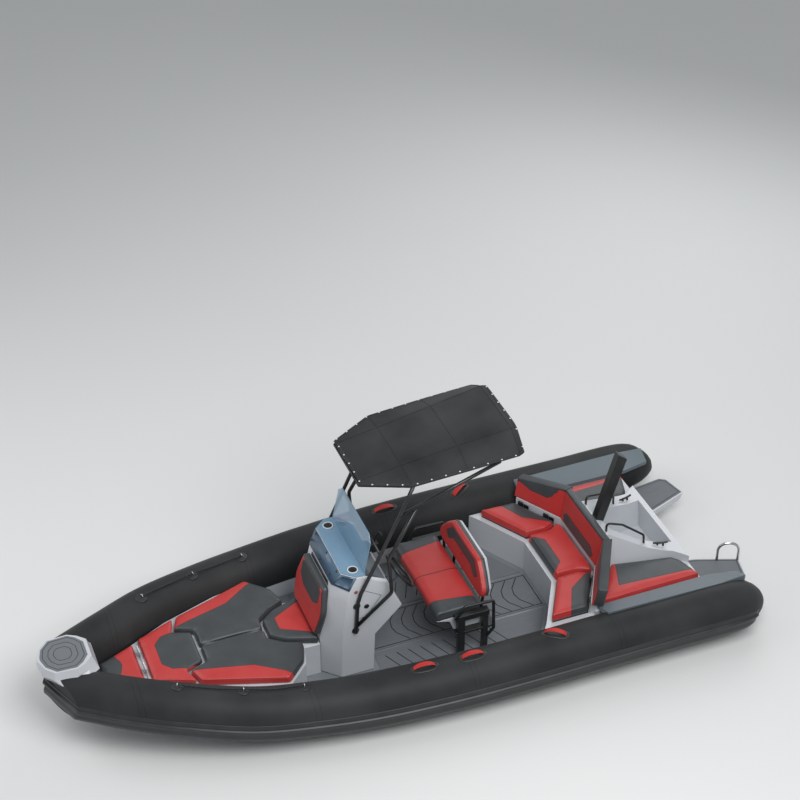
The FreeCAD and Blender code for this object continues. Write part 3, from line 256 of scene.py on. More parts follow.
def plain_finishes():
    """The rest: rubber, powder coat, steel, acrylic, canvas, rope and plastics."""
    rubber = tint("rubber")
    # moulded rubber: near black, a dull sheen
    finish("rubber", "moulded_rubber", rubber, 0.42, (7.0, lighter(rubber, 0.05), 0.5),
           (260.0, 0.15, 0.0005))
    # routed foam: the darker lower layer in the grooves
    finish("groove", "foam_lower_layer", tint("groove"), 0.85, bump=(300.0, 0.2, 0.0004))
    # powder coat: fine orange peel over black
    coat = tint("coat")
    finish("coat", "powder_coated_steel", coat, 0.34, (9.0, lighter(coat, 0.04), 0.5),
           (380.0, 0.12, 0.0004))
    # polished 316 stainless: sharp pale reflections
    finish("steel", "polished_stainless", srgb("#c8cbcd"), 0.16, bump=(90.0, 0.04, 0.0004), metallic=1.0)
    # tinted cast acrylic: see-through blue with a gloss, and a deeper, duller panel on the console's face
    acrylic = tint("acrylic")
    finish("acrylic", "tinted_cast_acrylic", acrylic, 0.06, (2.0, lighter(acrylic, 0.2), 0.5),
           alpha=0.62, coat_weight=0.6, coat_roughness=0.03)
    finish("panel_acrylic", "tinted_acrylic_panel", srgb("#41596e"), 0.3, (2.0, srgb("#54708a"), 0.5),
           coat_weight=0.2, coat_roughness=0.2)
    canvas = tint("canvas")
    # proofed canvas: woven bump at 4 mm, drawn coarser than its 0.6 mm threads
    tree, shader, place = finish("canvas", "proofed_canvas", canvas, 0.55, specular_ior_level=0.15,
                                 sheen_weight=0.04, sheen_roughness=0.4)
    weave = node(tree, "TexWave", {"Vector": place, "Scale": 80.0, "Distortion": 0.4}, 1,
                 bands_direction="X")
    cross = node(tree, "TexWave", {"Vector": place, "Scale": 80.0, "Distortion": 0.4}, 1,
                 bands_direction="Y")
    cloth = node(tree, "Math", {0: weave, 1: cross}, operation="MULTIPLY")
    relief = node(tree, "Bump", {"Height": cloth, "Strength": 0.25, "Distance": 0.0006})
    tree.links.new(relief, shader.inputs["Normal"])
    drift = node(tree, "TexNoise", {"Vector": place, "Scale": 2.4, "Detail": 4.0})
    toned = node(tree, "Mix", {0: drift, 6: lighter(canvas, -0.18), 7: lighter(canvas, 0.05)}, 2,
                 data_type="RGBA")
    tree.links.new(toned, shader.inputs["Base Color"])
    # laid polyester rope, matt black
    finish("rope", "laid_polyester_rope", srgb("#1b1d1f"), 0.7, (60.0, srgb("#33373a"), 0.6),
           (500.0, 0.4, 0.001))
    # moulded ABS: dash panel and small black housings
    finish("dash", "moulded_abs_slate", srgb("#59636b"), 0.4, (8.0, srgb("#4a535a"), 0.6),
           (300.0, 0.1, 0.0004))
    finish("plastic", "moulded_abs_black", srgb("#111314"), 0.34, (12.0, srgb("#1e2022"), 0.6),
           (300.0, 0.1, 0.0004))
    # pale print and plated snap heads: matt, near white
    finish("mark", "printed_white", srgb("#d4d8da"), 0.5, (30.0, srgb("#b9bec1"), 0.5))
    # red webbing of the grab straps
    red = tint("vinyl")
    finish("webbing", "woven_webbing_red", red, 0.6, (40.0, lighter(red, -0.25), 0.6), (420.0, 0.5, 0.001))
    # moulded lens of the port light: deep red with a wet gloss
    finish("lens", "moulded_red_lens", srgb("#7d1512"), 0.1, (20.0, srgb("#a32420"), 0.5), coat_weight=0.8)


# Meshes worked out as arrays


def put(name, part, skin, body="boat", replaces=(), bevel=0.0, merge=0.0, facing=False):
    """Make a mesh object from (vertices, faces), riding on a body.

    merge joins doubles nearer than that, facing turns all faces outwards, bevel rounds sharp edges.
    """
    verts, faces = part
    mesh = bpy.data.meshes.new(name)
    mesh.from_pydata(np.asarray(verts, dtype=float).tolist(), [], [list(map(int, face)) for face in faces])
    mesh.update()
    if merge or facing:
        bm = bmesh.new()
        bm.from_mesh(mesh)
        if merge:
            bmesh.ops.remove_doubles(bm, verts=bm.verts, dist=merge)
            bmesh.ops.dissolve_degenerate(bm, edges=bm.edges, dist=merge / 4)
        if facing:
            bmesh.ops.recalc_face_normals(bm, faces=bm.faces)
        bm.to_mesh(mesh)
        bm.free()
    made = bpy.data.objects.new(name, mesh)
    bpy.context.collection.objects.link(made)
    mesh.materials.append(SKIN[skin])
    mesh.shade_smooth()
    if bevel:
        soften(made, bevel)
    if replaces:
        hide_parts(*replaces)
    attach(made, body)
    return made


def soften(made, width, degrees=28):
    """Round a piece's sharp edges, and keep its flat faces flat in the shading."""
    mod = made.modifiers.new("rounded", "BEVEL")
    mod.width = width
    mod.segments = 2
    mod.limit_method = "ANGLE"
    mod.angle_limit = math.radians(degrees)
    mod.harden_normals = True


def rounded_copy(name, skin, width, body):
    """A CAD moulding with rounded edges: a merged copy of its mesh with its flat faces made whole."""
    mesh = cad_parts[name].data.copy()
    mesh.name = name + "_moulding"
    bm = bmesh.new()
    bm.from_mesh(mesh)
    bmesh.ops.remove_doubles(bm, verts=bm.verts, dist=0.00002)
    bmesh.ops.dissolve_limit(bm, angle_limit=math.radians(0.6), verts=bm.verts, edges=bm.edges)
    bm.to_mesh(mesh)
    bm.free()
    if "custom_normal" in mesh.attributes:
        mesh.attributes.remove(mesh.attributes["custom_normal"])
    made = bpy.data.objects.new(name + "_moulding", mesh)
    bpy.context.collection.objects.link(made)
    mesh.materials.clear()
    mesh.materials.append(SKIN[skin])
    mesh.shade_smooth()
    soften(made, width)
    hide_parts(name)
    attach(made, body)


def grid_faces(nu, nv, wrap_u=False, wrap_v=True):
    """Quads of an nu by nv grid stored row by row, closed in v (and u) where asked."""
    iu = np.arange(nu if wrap_u else nu - 1)
    iv = np.arange(nv if wrap_v else nv - 1)
    a, b = np.meshgrid(iu, iv, indexing="ij")
    a, b = a.ravel(), b.ravel()
    a1, b1 = (a + 1) % nu, (b + 1) % nv
    return np.stack([a * nv + b, a * nv + b1, a1 * nv + b1, a1 * nv + b], axis=1)


def loft(rings, wrap=False):
    """A closed shell through (n, m, 3) rings, with a fan at each end unless the rings wrap round."""
    n, m = rings.shape[:2]
    faces = grid_faces(n, m, wrap_u=wrap).tolist()
    if wrap:
        return rings.reshape(-1, 3), faces
    verts = np.vstack([rings.reshape(-1, 3), rings[0].mean(0), rings[-1].mean(0)])
    k = np.arange(m)
    faces += np.stack([np.full(m, n * m), (k + 1) % m, k], axis=1).tolist()
    last = (n - 1) * m
    faces += np.stack([np.full(m, n * m + 1), last + k, last + (k + 1) % m], axis=1).tolist()
    return verts, faces


def join(*parts):
    """Several (vertices, faces) in one."""
    verts, faces, base = [], [], 0
    for v, f in parts:
        verts.append(np.asarray(v, dtype=float))
        faces += [[int(i) + base for i in face] for face in f]
        base += len(v)
    return np.vstack(verts), faces


def flip(part):
    """The mirror image across the middle plane, with its faces turned back outwards."""
    v, f = part
    v = np.array(v, dtype=float)
    v[:, 1] *= -1
    return v, [list(face)[::-1] for face in f]


def both(part):
    """A part and its mirror image across the middle plane."""
    return join(part, flip(part))


def spline(rows, n):
    """Catmull-Rom curve through the rows, n points evenly spaced by length."""
    rows = np.asarray(rows, dtype=float)
    ends = np.vstack([2 * rows[0] - rows[1], rows, 2 * rows[-1] - rows[-2]])
    t = np.linspace(0, 1, 24, endpoint=False)[:, None, None]
    p0, p1, p2, p3 = ends[:-3], ends[1:-2], ends[2:-1], ends[3:]
    bits = 0.5 * (2 * p1 + (p2 - p0) * t + (2 * p0 - 5 * p1 + 4 * p2 - p3) * t ** 2
                  + (3 * p1 - p0 - 3 * p2 + p3) * t ** 3)
    line = np.vstack([bits.transpose(1, 0, 2).reshape(-1, rows.shape[1]), rows[-1:]])
    run = lengths(line[:, :3])
    want = np.linspace(0, run[-1], n)
    return np.stack([np.interp(want, run, line[:, k]) for k in range(rows.shape[1])], axis=1)


def lengths(line):
    """Running length along a row of points."""
    return np.concatenate([[0], np.cumsum(np.linalg.norm(np.diff(line, axis=0), axis=1))])


def bent(points, bend, steps=7):
    """A chain of points along straight runs joined by tangent arcs of radius bend."""
    pts = np.asarray(points, dtype=float)
    chain = [pts[:1]]
    for before, corner, after in zip(pts, pts[1:], pts[2:]):
        a = (before - corner) / np.linalg.norm(before - corner)
        b = (after - corner) / np.linalg.norm(after - corner)
        half = math.pi / 2 - math.acos(np.clip(a @ b, -1, 1)) / 2
        centre = corner + (a + b) / np.linalg.norm(a + b) * (bend / math.cos(half))
        first = corner + a * (bend * math.tan(half)) - centre
        last = corner + b * (bend * math.tan(half)) - centre
        turn = np.linspace(0, 2 * half, steps)[:, None]
        chain.append(centre + (first * np.sin(2 * half - turn) + last * np.sin(turn)) / math.sin(2 * half))
    chain.append(pts[-1:])
    return np.vstack(chain)


def directions(chain, closed):
    """Unit headings at the points of a chain."""
    if closed:
        ahead = np.roll(chain, -1, axis=0) - chain
        behind = chain - np.roll(chain, 1, axis=0)
    else:
        step = np.diff(chain, axis=0)
        ahead = np.vstack([step, step[-1:]])
        behind = np.vstack([step[:1], step])
    heading = (ahead / np.linalg.norm(ahead, axis=1)[:, None]
               + behind / np.linalg.norm(behind, axis=1)[:, None])
    return heading / np.linalg.norm(heading, axis=1)[:, None]


def bar(chain, radius, sides=14, closed=False, lobes=0.0, twist=0.0):
    """A round bar along a chain of points, its section carried on without twist.

    P = C + (S cos a + T sin a) r, with r * (1 + lobes * (|sin 1.5(a - twist * run)| - 0.5)) for a rope.
    """
    chain = np.asarray(chain, dtype=float)
    heading = directions(chain, closed)
    side = np.cross([0, 0, 1.0] if abs(heading[0][2]) < 0.95 else [1.0, 0, 0], heading[0])
    sides_along = []
    for ahead in heading:
        side = side - ahead * (side @ ahead)
        side = side / np.linalg.norm(side)
        sides_along.append(side)
    s = np.array(sides_along)
    t = np.cross(heading, s)
    a = np.linspace(0, 2 * math.pi, sides, endpoint=False)[None, :, None]
    run = lengths(chain)[:, None, None]
    reach = radius * (1 + lobes * (np.abs(np.sin(1.5 * (a - twist * run))) - 0.5))
    return loft(chain[:, None] + (s[:, None] * np.cos(a) + t[:, None] * np.sin(a)) * reach, closed)


def tube(points, radius, bend=0.0, sides=14):
    """A bent round tube: straight runs joined by arcs."""
    return bar(bent(points, bend) if bend else points, radius, sides)


def square_to(axis):
    """The unit axis and two unit vectors square to it and to each other."""
    axis = np.asarray(axis, dtype=float) / np.linalg.norm(axis)
    first = np.cross(axis, [0, 1.0, 0] if abs(axis[1]) < 0.9 else [0, 0, 1.0])
    first /= np.linalg.norm(first)
    return axis, first, np.cross(axis, first)


def ring(centre, axis, wide, radius, steps=40, sides=12):
    """A closed ring of round bar: wide is its radius to the middle of the bar."""
    axis, first, second = square_to(axis)
    t = np.linspace(0, 2 * math.pi, steps, endpoint=False)[:, None]
    return bar(np.asarray(centre) + (first * np.cos(t) + second * np.sin(t)) * wide, radius, sides, True)


def turned(centre, axis, profile, sides=32):
    """A turned form: profile rows of (height along the axis, radius), closed at both ends."""
    axis, first, second = square_to(axis)
    high, wide = np.asarray(profile, dtype=float).T
    t = np.linspace(0, 2 * math.pi, sides, endpoint=False)[None, :, None]
    rim = first * np.cos(t) + second * np.sin(t)
    return loft(np.asarray(centre) + axis * high[:, None, None] + rim * wide[:, None, None])


def thickened(flat, step):
    """A closed plate: a flat outline, its copy moved by step, and the walls between them."""
    m = len(flat)
    k = np.arange(m)
    walls = np.stack([k, (k + 1) % m, (k + 1) % m + m, k + m], axis=1).tolist()
    return np.vstack([flat, flat + step]), [list(range(m))[::-1], list(range(m, 2 * m))] + walls


def prism(outline, origin, across_way, up_way, thick):
    """A flat plate: outline rows of (a, b) along two directions from an origin.

    P = O + a u + b v, thickened along the normal of u and v.
    """
    origin, u, v = (np.asarray(w, dtype=float) for w in (origin, across_way, up_way))
    n = np.cross(u, v)
    flat = origin + np.asarray(outline)[:, :1] * u + np.asarray(outline)[:, 1:] * v
    return thickened(flat, n / np.linalg.norm(n) * thick)


def plate(outline, low, high):
    """An upright prism on an (x, y) outline, whichever way round the outline runs."""
    pts = np.asarray(outline, dtype=float)
    area = np.sum(pts[:, 0] * np.roll(pts[:, 1], -1) - pts[:, 1] * np.roll(pts[:, 0], -1))
    return prism(pts if area > 0 else pts[::-1], (0, 0, low), (1, 0, 0), (0, 1, 0), high - low)


def ribbon(points, width, high, thick=0.0012, closed=False):
    """A flat line of a given width along (x, y) points, with mitred corners, at a height.

    Each point moves along the mean normal of its two runs by width / 2 / cos(half the turn).
    """
    pts = np.asarray(points, dtype=float)
    if closed:
        pts = np.vstack([pts, pts[:1]])
    step = np.diff(pts, axis=0)
    step /= np.linalg.norm(step, axis=1)[:, None]
    before = np.vstack([step[-1:] if closed else step[:1], step])
    after = np.vstack([step, step[:1] if closed else step[-1:]])
    mean = before + after
    mean /= np.linalg.norm(mean, axis=1)[:, None]
    reach = width / 2 / np.clip((mean * after).sum(1), 0.5, 1)
    side = np.stack([-mean[:, 1], mean[:, 0]], axis=1) * reach[:, None]
    left, right = pts + side, pts - side
    rows = np.stack([np.column_stack([right, np.full(len(pts), high)]),
                     np.column_stack([left, np.full(len(pts), high)]),
                     np.column_stack([left, np.full(len(pts), high - thick)]),
                     np.column_stack([right, np.full(len(pts), high - thick)])], axis=1)
    return loft(rows[:, ::-1])


def distance_in(points, outline):
    """Signed distance of (n, 2) points to a closed outline, positive inside."""
    a = np.asarray(outline, dtype=float)
    b = np.roll(a, -1, axis=0)
    p = points[:, None, :]
    edge = (b - a)[None]
    t = np.clip(((p - a) * edge).sum(2) / (edge ** 2).sum(2), 0, 1)
    near = np.linalg.norm(p - (a + t[..., None] * edge), axis=2).min(1)
    cross = ((a[None, :, 1] > p[..., 1]) != (b[None, :, 1] > p[..., 1])) & \
        (p[..., 0] < (b - a)[None, :, 0] * (p[..., 1] - a[None, :, 1])
         / np.where(b[:, 1] == a[:, 1], 1e-12, b[:, 1] - a[:, 1])[None] + a[None, :, 0])
    inside = cross.sum(1) % 2 == 1
    return np.where(inside, near, -near)


def round_corners(outline, radius, n):
    """Closed outline with arcs at its corners, as n points evenly spaced by length."""
    pts = np.asarray(outline, dtype=float)
    ahead = np.roll(pts, -1, axis=0) - pts
    behind = np.roll(pts, 1, axis=0) - pts
    la, lb = np.linalg.norm(ahead, axis=1), np.linalg.norm(behind, axis=1)
    reach = np.minimum(radius, 0.4 * np.minimum(la, lb))[:, None]
    p, q = pts + behind / lb[:, None] * reach, pts + ahead / la[:, None] * reach
    t = np.linspace(0, 1, 7)[None, :, None]
    arc = (1 - t) ** 2 * p[:, None] + 2 * t * (1 - t) * pts[:, None] + t ** 2 * q[:, None]
    loop = arc.reshape(-1, 2)
    closed = np.vstack([loop, loop[:1]])
    run = lengths(closed)
    want = np.linspace(0, run[-1], n, endpoint=False)
    return np.stack([np.interp(want, run, closed[:, k]) for k in range(2)], axis=1)


def inward_of(loop, centre):
    """Unit vectors from a loop's points towards its centre."""
    way = centre - loop
    return way / np.linalg.norm(way, axis=1)[:, None]


def mirror_close(half):
    """Close a half outline of (along, y) points with its mirror image."""
    half = list(half)
    return half + [(a, -b) for a, b in reversed(half)]


# Tubes and hull

# Port tube stations: x, y, z, radius. The last length is a plain cone.
TUBE = ((-0.480, 1.075, 0.215, 0.052), (-0.432, 1.086, 0.236, 0.120), (-0.330, 1.102, 0.270, 0.190),
        (-0.140, 1.116, 0.298, 0.238), (0.5, 1.116, 0.298, 0.238), (1.2, 1.116, 0.298, 0.238),
        (1.900, 1.116, 0.298, 0.238), (2.600, 1.102, 0.298, 0.238), (3.280, 1.054, 0.298, 0.236),
        (3.830, 0.978, 0.308, 0.231), (4.380, 0.866, 0.336, 0.227), (4.925, 0.675, 0.404, 0.222),
        (5.350, 0.465, 0.440, 0.218), (5.640, 0.304, 0.476, 0.212), (6.100, 0.050, 0.530, 0.200))
# The tubes' blunt front: a point on its plane in the middle, and the plane's normal
FRONT_MIDDLE = np.array([6.015, 0, 0])
FRONT_NORMAL = np.array([0.9174, 0.3979, 0])
# Width left free between the two tubes at the middle plane
MIDDLE_GAP = 0.0004


def tube_line(n):
    """The port tube's axis and radius, n rows evenly spaced by length."""
    return spline(TUBE, n)


def tube_frames(line):
    """Side and top unit vectors along a line, the side kept level and outboard."""
    heading = np.gradient(line[:, :3], axis=0)
    heading /= np.linalg.norm(heading, axis=1)[:, None]
    side = np.cross(np.array([0, 0, 1.0]), heading)
    side /= np.linalg.norm(side, axis=1)[:, None]
    return heading, side, np.cross(heading, side)


def on_tube(line, angle, proud):
    """Points round the tube: P = C + (side cos a + top sin a)(r + proud).

    The angle a is 0 outboard and 90 degrees on top.
    """
    _, side, top = tube_frames(line)
    a = np.radians(np.atleast_1d(angle))[None, :, None]
    reach = line[:, 3][:, None, None] + np.atleast_1d(proud)[None, :, None]
    return line[:, None, :3] + (side[:, None] * np.cos(a) + top[:, None] * np.sin(a)) * reach


def spot_on_tube(x, angle, lift=0.0):
    """Place, outward and forward direction on the port tube at a given x and angle."""
    line = tube_line(400)
    at = int(np.argmin(np.abs(line[:, 0] - x)))
    place = on_tube(line, angle, lift)[at, 0]
    heading = tube_frames(line)[0][at]
    out = place - line[at, :3]
    return place, out / np.linalg.norm(out), heading


def cut_at_front(rings, proud):
    """Stop each lengthwise row of points at the front plane, moved forward by proud (one per column)."""
    reach = FRONT_NORMAL @ FRONT_MIDDLE + np.atleast_1d(proud)
    depth = rings @ FRONT_NORMAL - reach
    past = depth > 0
    first = np.argmax(past, axis=0)
    columns = np.arange(rings.shape[1])
    inner, outer = rings[first - 1, columns], rings[first, columns]
    d0, d1 = depth[first - 1, columns], depth[first, columns]
    crossing = inner + (outer - inner) * (-d0 / (d1 - d0))[:, None]
    crossing = np.where(past.any(0)[:, None], crossing, rings[-1])
    return np.where(past[..., None], crossing[None], rings), crossing


def build_tubes():
    """Air tubes: circles carried along the axis and cut off at the blunt front's plane."""
    line = tube_line(170)
    rings = on_tube(line, np.arange(360, 0, -4.0), 0.0)
    rings[..., 1] = np.maximum(rings[..., 1], MIDDLE_GAP / 2)
    rings = cut_at_front(rings, 0.0)[0]
    part = loft(rings)
    for side, word in ((1, "port"), (-1, "starboard")):
        made = put("tube_" + word, part if side > 0 else flip(part), "tube",
                   replaces=["collar_" + word], merge=0.00005, facing=True)
        with_attribute(made, "run", lambda v: v[:, 0] + SEAM_SHIFT)
        soften(made, 0.010, 40)


def with_attribute(made, name, measure):
    """Store a value worked out from each vertex's place."""
    attribute = made.data.attributes.new(name, "FLOAT", "POINT")
    attribute.data.foreach_set("value", measure(points_of(made)).astype(np.float32))


# Rubbing band section: angle round the tube, height off it
STRAKE = ((15, 0.0016), (13.5, 0.0036), (4, 0.0048), (2.9, 0.0060), (2.4, 0.0222), (1.6, 0.0238),
          (-1.6, 0.0240), (-2.4, 0.0228), (-3.2, 0.0180), (-5.4, 0.0112), (-6.6, 0.0106),
          (-11.4, 0.0106), (-12.8, 0.0112),
          (-18.4, 0.0222), (-20, 0.0236), (-22.5, 0.0240), (-29.5, 0.0240), (-32, 0.0234), (-33, 0.0210),
          (-35.5, 0.0100), (-37, 0.0088), (-41.4, 0.0042), (-42, 0.0016))
STRAKE_START = -0.33
STRAKE_END = 5.64
STRAKE_RISE = 0.008


def build_rubbing_band():
    """The ribbed band: its section carried along the tube, mitred at the front and on to the middle."""
    line = tube_line(260)
    line = line[(line[:, 0] > STRAKE_START) & (line[:, 0] < STRAKE_END)]
    angles, proud = np.array(STRAKE).T
    section = np.concatenate([angles, angles[::-1]])
    lift = np.concatenate([proud, np.full(len(angles), 0.0003)])
    rings = on_tube(line, section, lift)
    run = rings[-1] - rings[-2]
    reach = FRONT_NORMAL @ FRONT_MIDDLE + lift
    corner = rings[-1] + run * ((reach - rings[-1] @ FRONT_NORMAL) / (run @ FRONT_NORMAL))[:, None]
    x = (reach - FRONT_NORMAL[1] * MIDDLE_GAP) / FRONT_NORMAL[0]
    middle = np.column_stack([x, np.full(len(x), MIDDLE_GAP), corner[:, 2] + STRAKE_RISE])
    near = rings[-1] + (corner - rings[-1]) * 0.9
    past = corner + (middle - corner) * 0.06
    part = loft(np.concatenate([rings, [near, corner, past, middle]]))
    put("rubbing_band", both(part), "rubber", replaces=["rub_strakes"], facing=True)


# Hull stations: x, keel, chine y, chine z, deck
HULL = ((0, -0.430, 0.880, -0.095, 0), (1.9, -0.450, 0.880, -0.085, 0), (2.6, -0.448, 0.862, -0.070, 0),
        (3.28, -0.428, 0.812, -0.046, 0), (3.83, -0.385, 0.750, -0.025, 0),
        (4.38, -0.312, 0.592, 0.040, 0.072), (4.925, -0.190, 0.425, 0.112, 0.152),
        (5.35, -0.050, 0.275, 0.175, 0.235),
        (5.64, 0.110, 0.150, 0.215, 0.312))
# Lifting strakes as shares of the chine's half width, a strake's width, the chine flat's width
LIFTS = (0.36, 0.68)
LIFT_WIDE = 0.034
CHINE_FLAT = 0.052
# Angles round the tube of the seat that it lies in
SEAT_ANGLES = (-105, -120, -135, -150, -158)
# Stem under the blunt front: x, then y and z of keel, chine, seat and top
STEM = ((5.628, 0, 0.106, 0.153, 0.2145, 0.241, 0.270, 0.095, 0.430),
        (5.76, 0, 0.228, 0.090, 0.285, 0.146, 0.318, 0.060, 0.430),
        (5.89, 0, 0.345, 0.022, 0.352, 0.040, 0.365, 0.022, 0.430))


def build_hull():
    """Deep-V skin: each point of the half section runs along a smooth curve through the stations."""
    rows = spline(HULL, 90)
    x, keel, chine_y, chine_z, deck = rows.T
    shrink = chine_y / HULL[0][2]
    flat = CHINE_FLAT * shrink
    turn_z = chine_z - 0.006 * shrink
    slope = (turn_z - keel) / (chine_y - flat)
    points = [(np.zeros_like(x), keel)]
    for share in LIFTS:
        y = share * chine_y
        edge = y + LIFT_WIDE * shrink
        points += [(y, keel + slope * y), (edge, keel + slope * y), (edge, keel + slope * edge)]
    points += [(chine_y - flat, turn_z), (chine_y, chine_z)]
    line = tube_line(400)
    at = np.stack([np.interp(x, line[:, 0], line[:, k]) for k in range(4)], axis=1)
    seats = on_tube(at, SEAT_ANGLES, -0.001)
    points += [(seats[:, k, 1], seats[:, k, 2]) for k in range(len(SEAT_ANGLES))]
    points.append((seats[:, -1, 1], deck))
    half = np.stack([np.stack([x, y, z], axis=1) for y, z in points], axis=1)
    other = half[:, :0:-1] * np.array([1, -1, 1])
    shell = loft(np.concatenate([half, other], axis=1))
    stem = np.array([[(row[0], row[i], row[i + 1]) for i in (1, 3, 5, 7)] for row in STEM])
    stem = loft(np.concatenate([stem, stem[:, :0:-1] * np.array([1, -1, 1])], axis=1))
    put("hull_skin", join(shell, stem), "gelcoat", replaces=["hull"], facing=True,
        bevel=0.004)


# Cushions

PUFF_FRAMES = 16
PUFF_PRESSURE = 4.0


def puffed(made):
    """Swell a cushion with cloth simulation: remeshed, blown up a little, capped, then smoothed.

    The foot, the lowest fifth, stays where it is glued down.
    """
    remesh = made.modifiers.new("even", "REMESH")
    remesh.mode = "VOXEL"
    remesh.voxel_size = size("voxel")
    remesh.adaptivity = 0.0
    bake(made)
    base = points_of(made)
    low, high = base[:, 2].min(), base[:, 2].max()
    group = made.vertex_groups.new(name="held")
    held = np.nonzero(base[:, 2] < low + 0.2 * (high - low))[0]
    group.add(held.tolist(), 1.0, "REPLACE")
    cloth = made.modifiers.new("foam", "CLOTH")
    cloth.settings.use_pressure = True
    cloth.settings.uniform_pressure_force = PUFF_PRESSURE
    cloth.settings.effector_weights.gravity = 0.0
    cloth.settings.vertex_group_mass = "held"
    cloth.settings.quality = 3
    cloth.point_cache.frame_start = 1
    cloth.point_cache.frame_end = PUFF_FRAMES
    scene = bpy.context.scene
    for step in range(1, PUFF_FRAMES + 1):
        scene.frame_set(step)
    bake(made)
    scene.frame_set(1)
    moved = points_of(made) - base
    reach = np.linalg.norm(moved, axis=1)
    moved *= (size("puff") * np.tanh(reach / size("puff")) / np.maximum(reach, 1e-9))[:, None]
    made.data.vertices.foreach_set("co", (base + moved).ravel())
    made.data.update()
    made.vertex_groups.clear()
    smooth = made.modifiers.new("taut", "SMOOTH")
    smooth.factor = 0.5
    smooth.iterations = 3
    bake(made)
    made.data.shade_smooth()


def points_of(made):
    """A piece's vertices as rows of x, y, z."""
    v = np.empty(len(made.data.vertices) * 3)
    made.data.vertices.foreach_get("co", v)
    return v.reshape(-1, 3)


def bake(made):
    """Apply a piece's modifiers to its mesh."""
    bpy.context.view_layer.update()
    solved = made.evaluated_get(bpy.context.evaluated_depsgraph_get())
    mesh = bpy.data.meshes.new_from_object(solved)
    old = made.data
    made.modifiers.clear()
    made.data = mesh
    bpy.data.meshes.remove(old)


def pad(outline, kernel, low, high, n=190, rows=22):
    """A crowned closed cushion on a flat outline.

    Rings go up the wall, which bulges by sin(pi t) and draws in at the seam, over a rolled edge and
    from the rim towards the kernel as z = top - drop * exp(-d / 0.011) + rise * (1 - exp(-d / 0.09)),
    d being the distance to the rim.
    """
    rim = round_corners(outline, 0.022, n)
    centre = np.asarray(kernel, dtype=float)
    inward = inward_of(rim, centre)
    crown = size("crown")
    top = high - crown + 0.004
    rings = []
    for t in np.linspace(0, 1, 6):
        inset = 0.005 - 0.004 * math.sin(math.pi * t)
        rings.append(np.column_stack([rim + inward * inset, np.full(n, low + (top - 0.014 - low) * t)]))
    for inset, drop in ((0.0065, 0.0125), (0.0055, 0.010), (0.0075, 0.006)):
        rings.append(np.column_stack([rim + inward * inset, np.full(n, top - drop)]))
    share = np.linspace(0, 1, rows) ** 1.5
    base = rim + inward * 0.010
    for s in share[:-1]:
        flat = base + (centre - base) * s
        d = np.maximum(distance_in(flat, outline), 0)
        z = top - 0.0045 * np.exp(-d / 0.011) + (crown - 0.004) * (1 - np.exp(-d / 0.09))
        rings.append(np.column_stack([flat, z]))
    return loft(np.array(rings))


def cushion(name, parts, red, replaces, body="boat", seam_z=None, swell=True, bevel=0.0, merge=0.0):
    """A vinyl cushion: swelled by simulation where asked, then coloured by its panels."""
    made = put(name, join(*parts), "vinyl", body=body, replaces=replaces, merge=merge,
               facing=bool(merge))
    if bevel:
        soften(made, bevel)
        bake(made)
    if swell:
        puffed(made)
    made.data.shade_smooth()
    with_attribute(made, "red", red)
    drop = (lambda v: np.full(len(v), 1.0)) if seam_z is None else (lambda v: v[:, 2] - seam_z)
    with_attribute(made, "rim", drop)
    return made


def plan(v):
    """Plan places with both sides folded onto port."""
    return np.column_stack([v[:, 0], np.abs(v[:, 1])])


def red_outside(*darks):
    """Red where a point is outside every dark outline (plan view, both sides)."""
    return lambda v: -np.max([distance_in(plan(v), dark) for dark in darks], axis=0)


def red_inside(*reds):
    """Red where a point is inside any red outline (plan view, both sides)."""
    return lambda v: np.max([distance_in(plan(v), red) for red in reds], axis=0)


# Outlines of the bow pads in plan: x, y
BOW_PAIR = ((4.633, 0.007), (4.633, 0.208), (4.800, 0.278), (4.742, 0.440), (4.005, 0.690),
            (3.812, 0.498), (3.755, 0.330), (3.755, 0.288), (3.905, 0.224), (4.032, 0.120),
            (4.032, 0.007))
BOW_LID = ((5.136, 0.285), (4.768, 0.428), (4.822, 0.262), (4.655, 0.194))
BOW_TIP = ((5.535, 0.096), (5.188, 0.240))
CONSOLE_SEAT = ((4.018, 0.113), (3.898, 0.212), (3.612, 0.312))
BOW_LOW, BOW_HIGH = 0.3925, 0.465
BOW_SEAM = 0.4485


def build_bow_cushions():
    """Bow sun deck: the pair, the locker lid's pad, the tip and the console seat."""
    half = pad(BOW_PAIR, (4.30, 0.33), BOW_LOW, BOW_HIGH)
    cushion("bow_pad_pair", [half, flip(half)],
            red_inside([(4.900, 0.262), (4.257, 0.428), (3.955, 0.640), (3.955, 0.80), (5.0, 0.80)]),
            ["bow_cushions"], seam_z=BOW_SEAM)
    cushion("bow_lid_pad", [pad(mirror_close(BOW_LID), (4.985, 0), 0.411, BOW_HIGH)],
            red_outside([(5.010, -0.5), (5.010, 0.130), (4.935, 0.215), (4.816, 0.245), (4.600, 0.180),
                         (4.0, 0.180), (4.0, -0.5)]),
            ["bow_lid_cushion"], body="bow_lid", seam_z=BOW_SEAM)
    cushion("bow_tip_pad", [pad(mirror_close(BOW_TIP), (5.34, 0), BOW_LOW, BOW_HIGH)],
            red_outside([(5.330, -0.080), (5.345, 0.030), (5.40, 0.175), (5.8, 0.30), (5.8, -0.5),
                         (5.44, -0.5)]),
            ["bow_tip_cushion"], seam_z=BOW_SEAM)
    cushion("console_seat_pad", [pad(mirror_close(CONSOLE_SEAT), (3.80, 0), BOW_LOW, BOW_HIGH)],
            red_inside([(3.905, -0.5), (3.905, 0.078), (3.640, 0.218), (3.5, 0.218), (3.5, -0.5)]),
            ["console_seat_cushion"], seam_z=BOW_SEAM)


